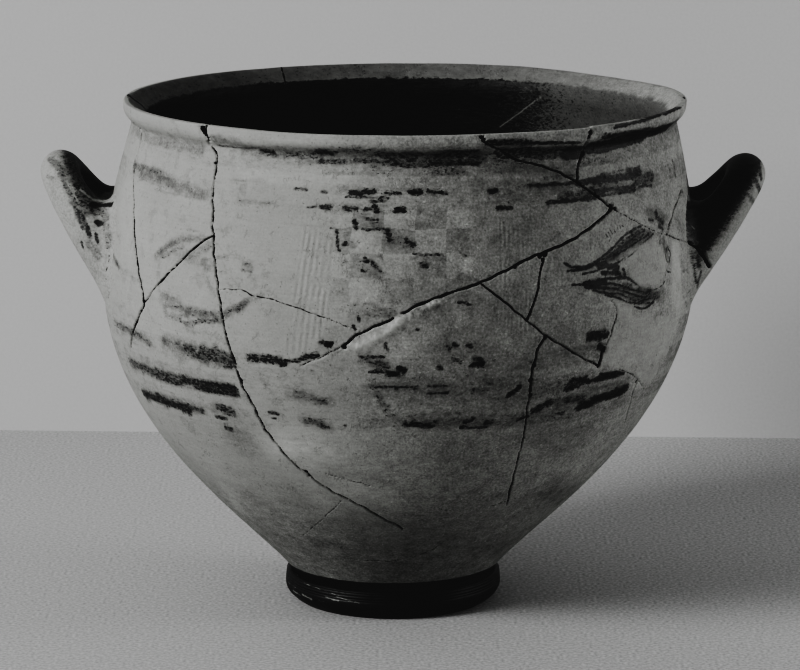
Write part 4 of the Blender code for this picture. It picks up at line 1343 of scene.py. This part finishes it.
def handle_path(side, reach, climb):
    """Centre and radius along one loop, from root to root, about 1.5 mm apart."""
    half_span = HANDLE_SPAN / 2
    root_x = math.sqrt(outer_radius(HANDLE_ROOT_HEIGHT) ** 2 - half_span ** 2) - HANDLE_SEAT

    def centre(across, along):
        near_root = max(0.0, 1 - along / HANDLE_FLARE_LENGTH)
        radius = HANDLE_ROLL / 2 * (1 + (HANDLE_ROOT_FLARE - 1) * near_root ** HANDLE_FLARE_POWER)
        growth = radius - HANDLE_ROLL / 2
        out = root_x + along * math.cos(climb) - growth * math.sin(climb)
        up = HANDLE_ROOT_HEIGHT + along * math.sin(climb) + growth * math.cos(climb)
        return Vector((axis_at(up) + side * out, across, up)), radius

    stops = [(half_span, -0.026 + 0.002 * step) for step in range(13)]
    steps = 1200
    for step in range(steps + 1):
        angle = math.pi * step / steps
        across = math.copysign(abs(math.cos(angle)) ** (2 / HANDLE_SQUARENESS), math.cos(angle)) * half_span
        stops.append((across, abs(math.sin(angle)) ** (2 / HANDLE_SQUARENESS) * reach))
    stops += [(-half_span, -0.002 * step) for step in range(1, 14)]
    path = [centre(*stops[0])]
    for across, along in stops[1:]:
        place, radius = centre(across, max(along, -0.026))
        if (place - path[-1][0]).length >= 1.5 * MM:
            path.append((place, radius))
    return path


def standoff(place):
    """How far a place lies outside the bowl's wall."""
    return math.hypot(place.x - axis_at(place.z), place.y) - outer_radius(place.z)


def loop_handle(side, reach, climb):
    """The roll along one loop, flared into a fillet where it meets the wall."""
    shape = bmesh.new()
    lift = Vector((-side * math.sin(climb), 0.0, math.cos(climb)))
    path = handle_path(side, reach, climb)
    previous = None
    for index, (centre, radius) in enumerate(path):
        before = path[max(index - 1, 0)][0]
        after = path[min(index + 1, len(path) - 1)][0]
        ahead = (after - before).normalized()
        sideways = ahead.cross(lift).normalized()
        ring = []
        for turn_step in range(ROLL_SIDES):
            turned = 2 * math.pi * turn_step / ROLL_SIDES
            out = lift * math.cos(turned) + sideways * math.sin(turned)
            spot = centre + out * radius
            gap = standoff(spot)
            fillet = (8.0 + 8.0 * max(0.0, out.dot(lift))) * MM
            if gap < fillet:
                # Spread the root over the wall, along the wall, and bury what lies behind it
                level = Vector((spot.x - axis_at(spot.z), spot.y, 0.0)).normalized()
                slope = (outer_radius(spot.z + MM) - outer_radius(spot.z - MM)) / (2 * MM)
                facing = Vector((level.x, level.y, -slope)).normalized()
                along_wall = (out - facing * out.dot(facing)).normalized()
                share = 1 - max(gap, 0.0) / fillet
                spot += along_wall * fillet * (1 - math.sqrt(max(0.0, 1 - share * share)))
                sunk = max(min(gap, 0.0), -HANDLE_BURIED) - 0.3 * MM * share
                if gap <= 0:
                    level = Vector((spot.x - axis_at(spot.z), spot.y, 0.0)).normalized()
                    spot += level * (sunk - standoff(spot))
            ring.append(shape.verts.new(spot))
        if previous:
            for first, second, third, fourth in zip(
                previous, previous[1:] + previous[:1], ring[1:] + ring[:1], ring
            ):
                shape.faces.new((first, second, third, fourth))
        previous = ring
    bmesh.ops.remove_doubles(shape, verts=shape.verts, dist=0.02 * MM)
    bmesh.ops.holes_fill(shape, edges=shape.edges, sides=0)
    bmesh.ops.triangulate(shape, faces=[face for face in shape.faces if len(face.verts) > 4])
    bmesh.ops.recalc_face_normals(shape, faces=shape.faces)
    return shape, lift


RIGHT_HANDLE_JOINTS = (
    ("break_at_root", 0.75, 2.6, ((688, 241), (692, 243), (698, 248), (702, 253))),
    ("break_at_edge", 1.25, 3.2, ((702, 253), (705, 258), (708, 263), (711, 268))),
)
LEFT_HANDLE_JOINTS = (
    ("root_crack", 0.5, 1.2, ((114, 277), (110, 288), (106, 300))),
    ("fold", 0.35, 0.8, ((108, 250), (107, 262), (105, 272), (104, 280))),
)
RIGHT_HANDLE_PAINT_AND_HIGHLIGHT = (
    (751, 162, 755, 164, 3, 0.92), (754, 169, 756, 172, 2, 0.90), (751, 176, 753, 179, 2, 0.90),
    (690, 184, 740, 160, 12, 0.98), (700, 208, 736, 176, 12, 1.00), (702, 232, 728, 196, 10, 1.00),
    (690, 205, 692, 238, 6, 0.96), (706, 246, 724, 214, 6, 0.82), (692, 250, 698, 288, 1.6, 0.72),
    (702, 272, 698, 285, 1.8, 0.62), (690, 292, 694, 308, 1.6, 0.60), (698, 256, 700, 266, 3, 0.72),
    (757, 160, 762, 178, 4, 0.70), (755, 178, 761, 192, 4, 0.62),
    # The last one here is a faint pale arc along the near arm's upper edge, a painted highlight
    (747, 192, 756, 204, 3.5, 0.46), (728, 190, 728, 191, 0.6, -0.9), (693, 226, 695, 228, 1.2, -0.6), (690, 200, 714, 199, 1.0, -0.35),
)
LEFT_HANDLE_PAINT_AND_HIGHLIGHT = (
    (80, 166, 92, 176, 6, 1.15), (90, 174, 108, 187, 6, 1.20), (86, 180, 100, 190, 5, 1.05),
    (66, 156, 76, 164, 5, 0.56), (70, 166, 82, 182, 5, 0.62), (76, 184, 90, 196, 4, 0.70),
    (91, 204, 112, 204, 3.2, 1.15), (84, 200, 92, 207, 3, 0.72), (60, 172, 66, 182, 4, 0.46),
    (66, 184, 74, 200, 4, 0.52), (72, 200, 84, 214, 5, 0.50), (81, 212, 83, 219, 2.0, 0.80),
    (87, 225, 89, 236, 2.4, 0.84), (95, 234, 97, 243, 1.8, 0.80), (81, 243, 82, 248, 1.6, 0.72),
    (97, 222, 99, 223, 3.2, 1.10), (84, 212, 100, 211, 5, 0.52), (76, 206, 84, 226, 5, 0.56),
    (80, 195, 96, 212, 6, 0.58), (79, 212, 80, 222, 1.6, 0.9),
    (86, 224, 88, 234, 2.6, 1.0), (104, 212, 108, 244, 5, 0.42), (88, 244, 98, 256, 5, 0.38),
    (50, 158, 62, 168, 5, 0.44), (46, 176, 52, 178, 3, 0.42), (86, 240, 96, 252, 5, 0.36),
    # These three and the next lay bare clay along the near arm's upper edge: worn paint, and a painted highlight
    # where that edge catches the light
    (66, 180, 76, 197, 0.8, -0.80), (81, 189, 94, 199, 1.4, -0.95), (94, 199, 106, 200, 1.8, -0.95),
    (106, 199, 114, 194, 1.8, -0.95), (104, 210, 110, 240, 4, 0.34),
)


def handle_skin(name):
    """Clay with flaked black paint, by the layers that the handle's vertices hold."""
    material, tree, output = blank_material(name)
    place = shader_node(tree, "ShaderNodeTexCoord").outputs["Object"]
    paint = shader_group(tree, flaked_paint, {"Place": place, "Coverage": layer_value(tree, "paint")})
    grain = shader_group(tree, clay_grain, {"Place": place, "Soiling": 0.35})
    joint = shader_group(tree, open_joint, {"Place": place, "Gap": layer_value(tree, "gap")})
    base = shader_node(
        tree, "ShaderNodeVectorMath", {0: CLAY[:3], "Scale": grain["Tone"]}, operation="SCALE"
    ).outputs[0]
    colour = blend(tree, number(tree, "MULTIPLY", paint["Stain"], 0.75), base, THIN_PAINT)
    colour = blend(tree, paint["Flake"], colour, blend(tree, paint["Body"], WORN_BLACK, DARK_PAINT))
    colour = blend(tree, number(tree, "MULTIPLY", joint["Chipped"], 0.3), colour, CHIPPED_CLAY)
    colour = blend(tree, joint["Dark"], colour, JOINT_DARK)
    bump = shader_node(tree, "ShaderNodeBump", {"Height": grain["Height"], "Strength": 0.5, "Distance": 0.0006})
    skin = shader_node(tree, "ShaderNodeBsdfPrincipled", {
        "Base Color": colour,
        "Roughness": spread(tree, paint["Flake"], 0.0, 1.0, 0.78, 0.48),
        "Specular IOR Level": 0.4,
        "Normal": bump.outputs[0],
    })
    tree.links.new(skin.outputs[0], output.inputs["Surface"])
    return material


def make_handle(name, spec, joints, dabs, least, most):
    """One handle with its breaks, what is left of its paint, and pale highlights painted along its near arm's upper
    edge.
    """
    shape, lift = loop_handle(*spec)
    surface = BVHTree.FromBMesh(shape)
    joint_spots = []
    for label, half_width, depth, route in joints:
        for spot in trace(surface, route, 0.6, 1.0):
            joint_spots.append((spot, half_width * MM * (1 + 0.4 * noise.noise(spot * 300)), depth * MM))
    paint_and_highlight_spots = []
    for x0, y0, x1, y1, half, strength in dabs:
        for spot in trace(surface, ((x0, y0), (x1, y1)), 1.2, 1.0):
            paint_and_highlight_spots.append((spot, half * PIXEL, strength))
    joints_tree = search_tree([spot[0] for spot in joint_spots])
    dabs_tree = search_tree([spot[0] for spot in paint_and_highlight_spots])
    refine(shape, dabs_tree, 2.5 * MM, 0.9 * MM)
    refine(shape, joints_tree, 1.6 * MM, 0.6 * MM)
    shape.normal_update()

    def ground(vertex):
        return most * ease(least - 0.45, least + 0.45, vertex.normal.dot(lift))

    mark_and_carve(shape, paint_and_highlight_spots, joint_spots, None, ground)
    cut_layer = shape.verts.layers.float["cut"]
    for vertex in shape.verts:
        dents = 0.5 * MM * noise.noise(vertex.co * 28) + 0.15 * MM * noise.noise(vertex.co * 110)
        vertex.co += vertex.normal * (dents - vertex[cut_layer] - 0.75 * MM)
    finished(name, shape, handle_skin(name + "_skin"))


make_handle("handle_right", RIGHT_HANDLE, RIGHT_HANDLE_JOINTS, RIGHT_HANDLE_PAINT_AND_HIGHLIGHT, -0.30, 1.15)
make_handle("handle_left", LEFT_HANDLE, LEFT_HANDLE_JOINTS, LEFT_HANDLE_PAINT_AND_HIGHLIGHT, 0.50, 0.66)
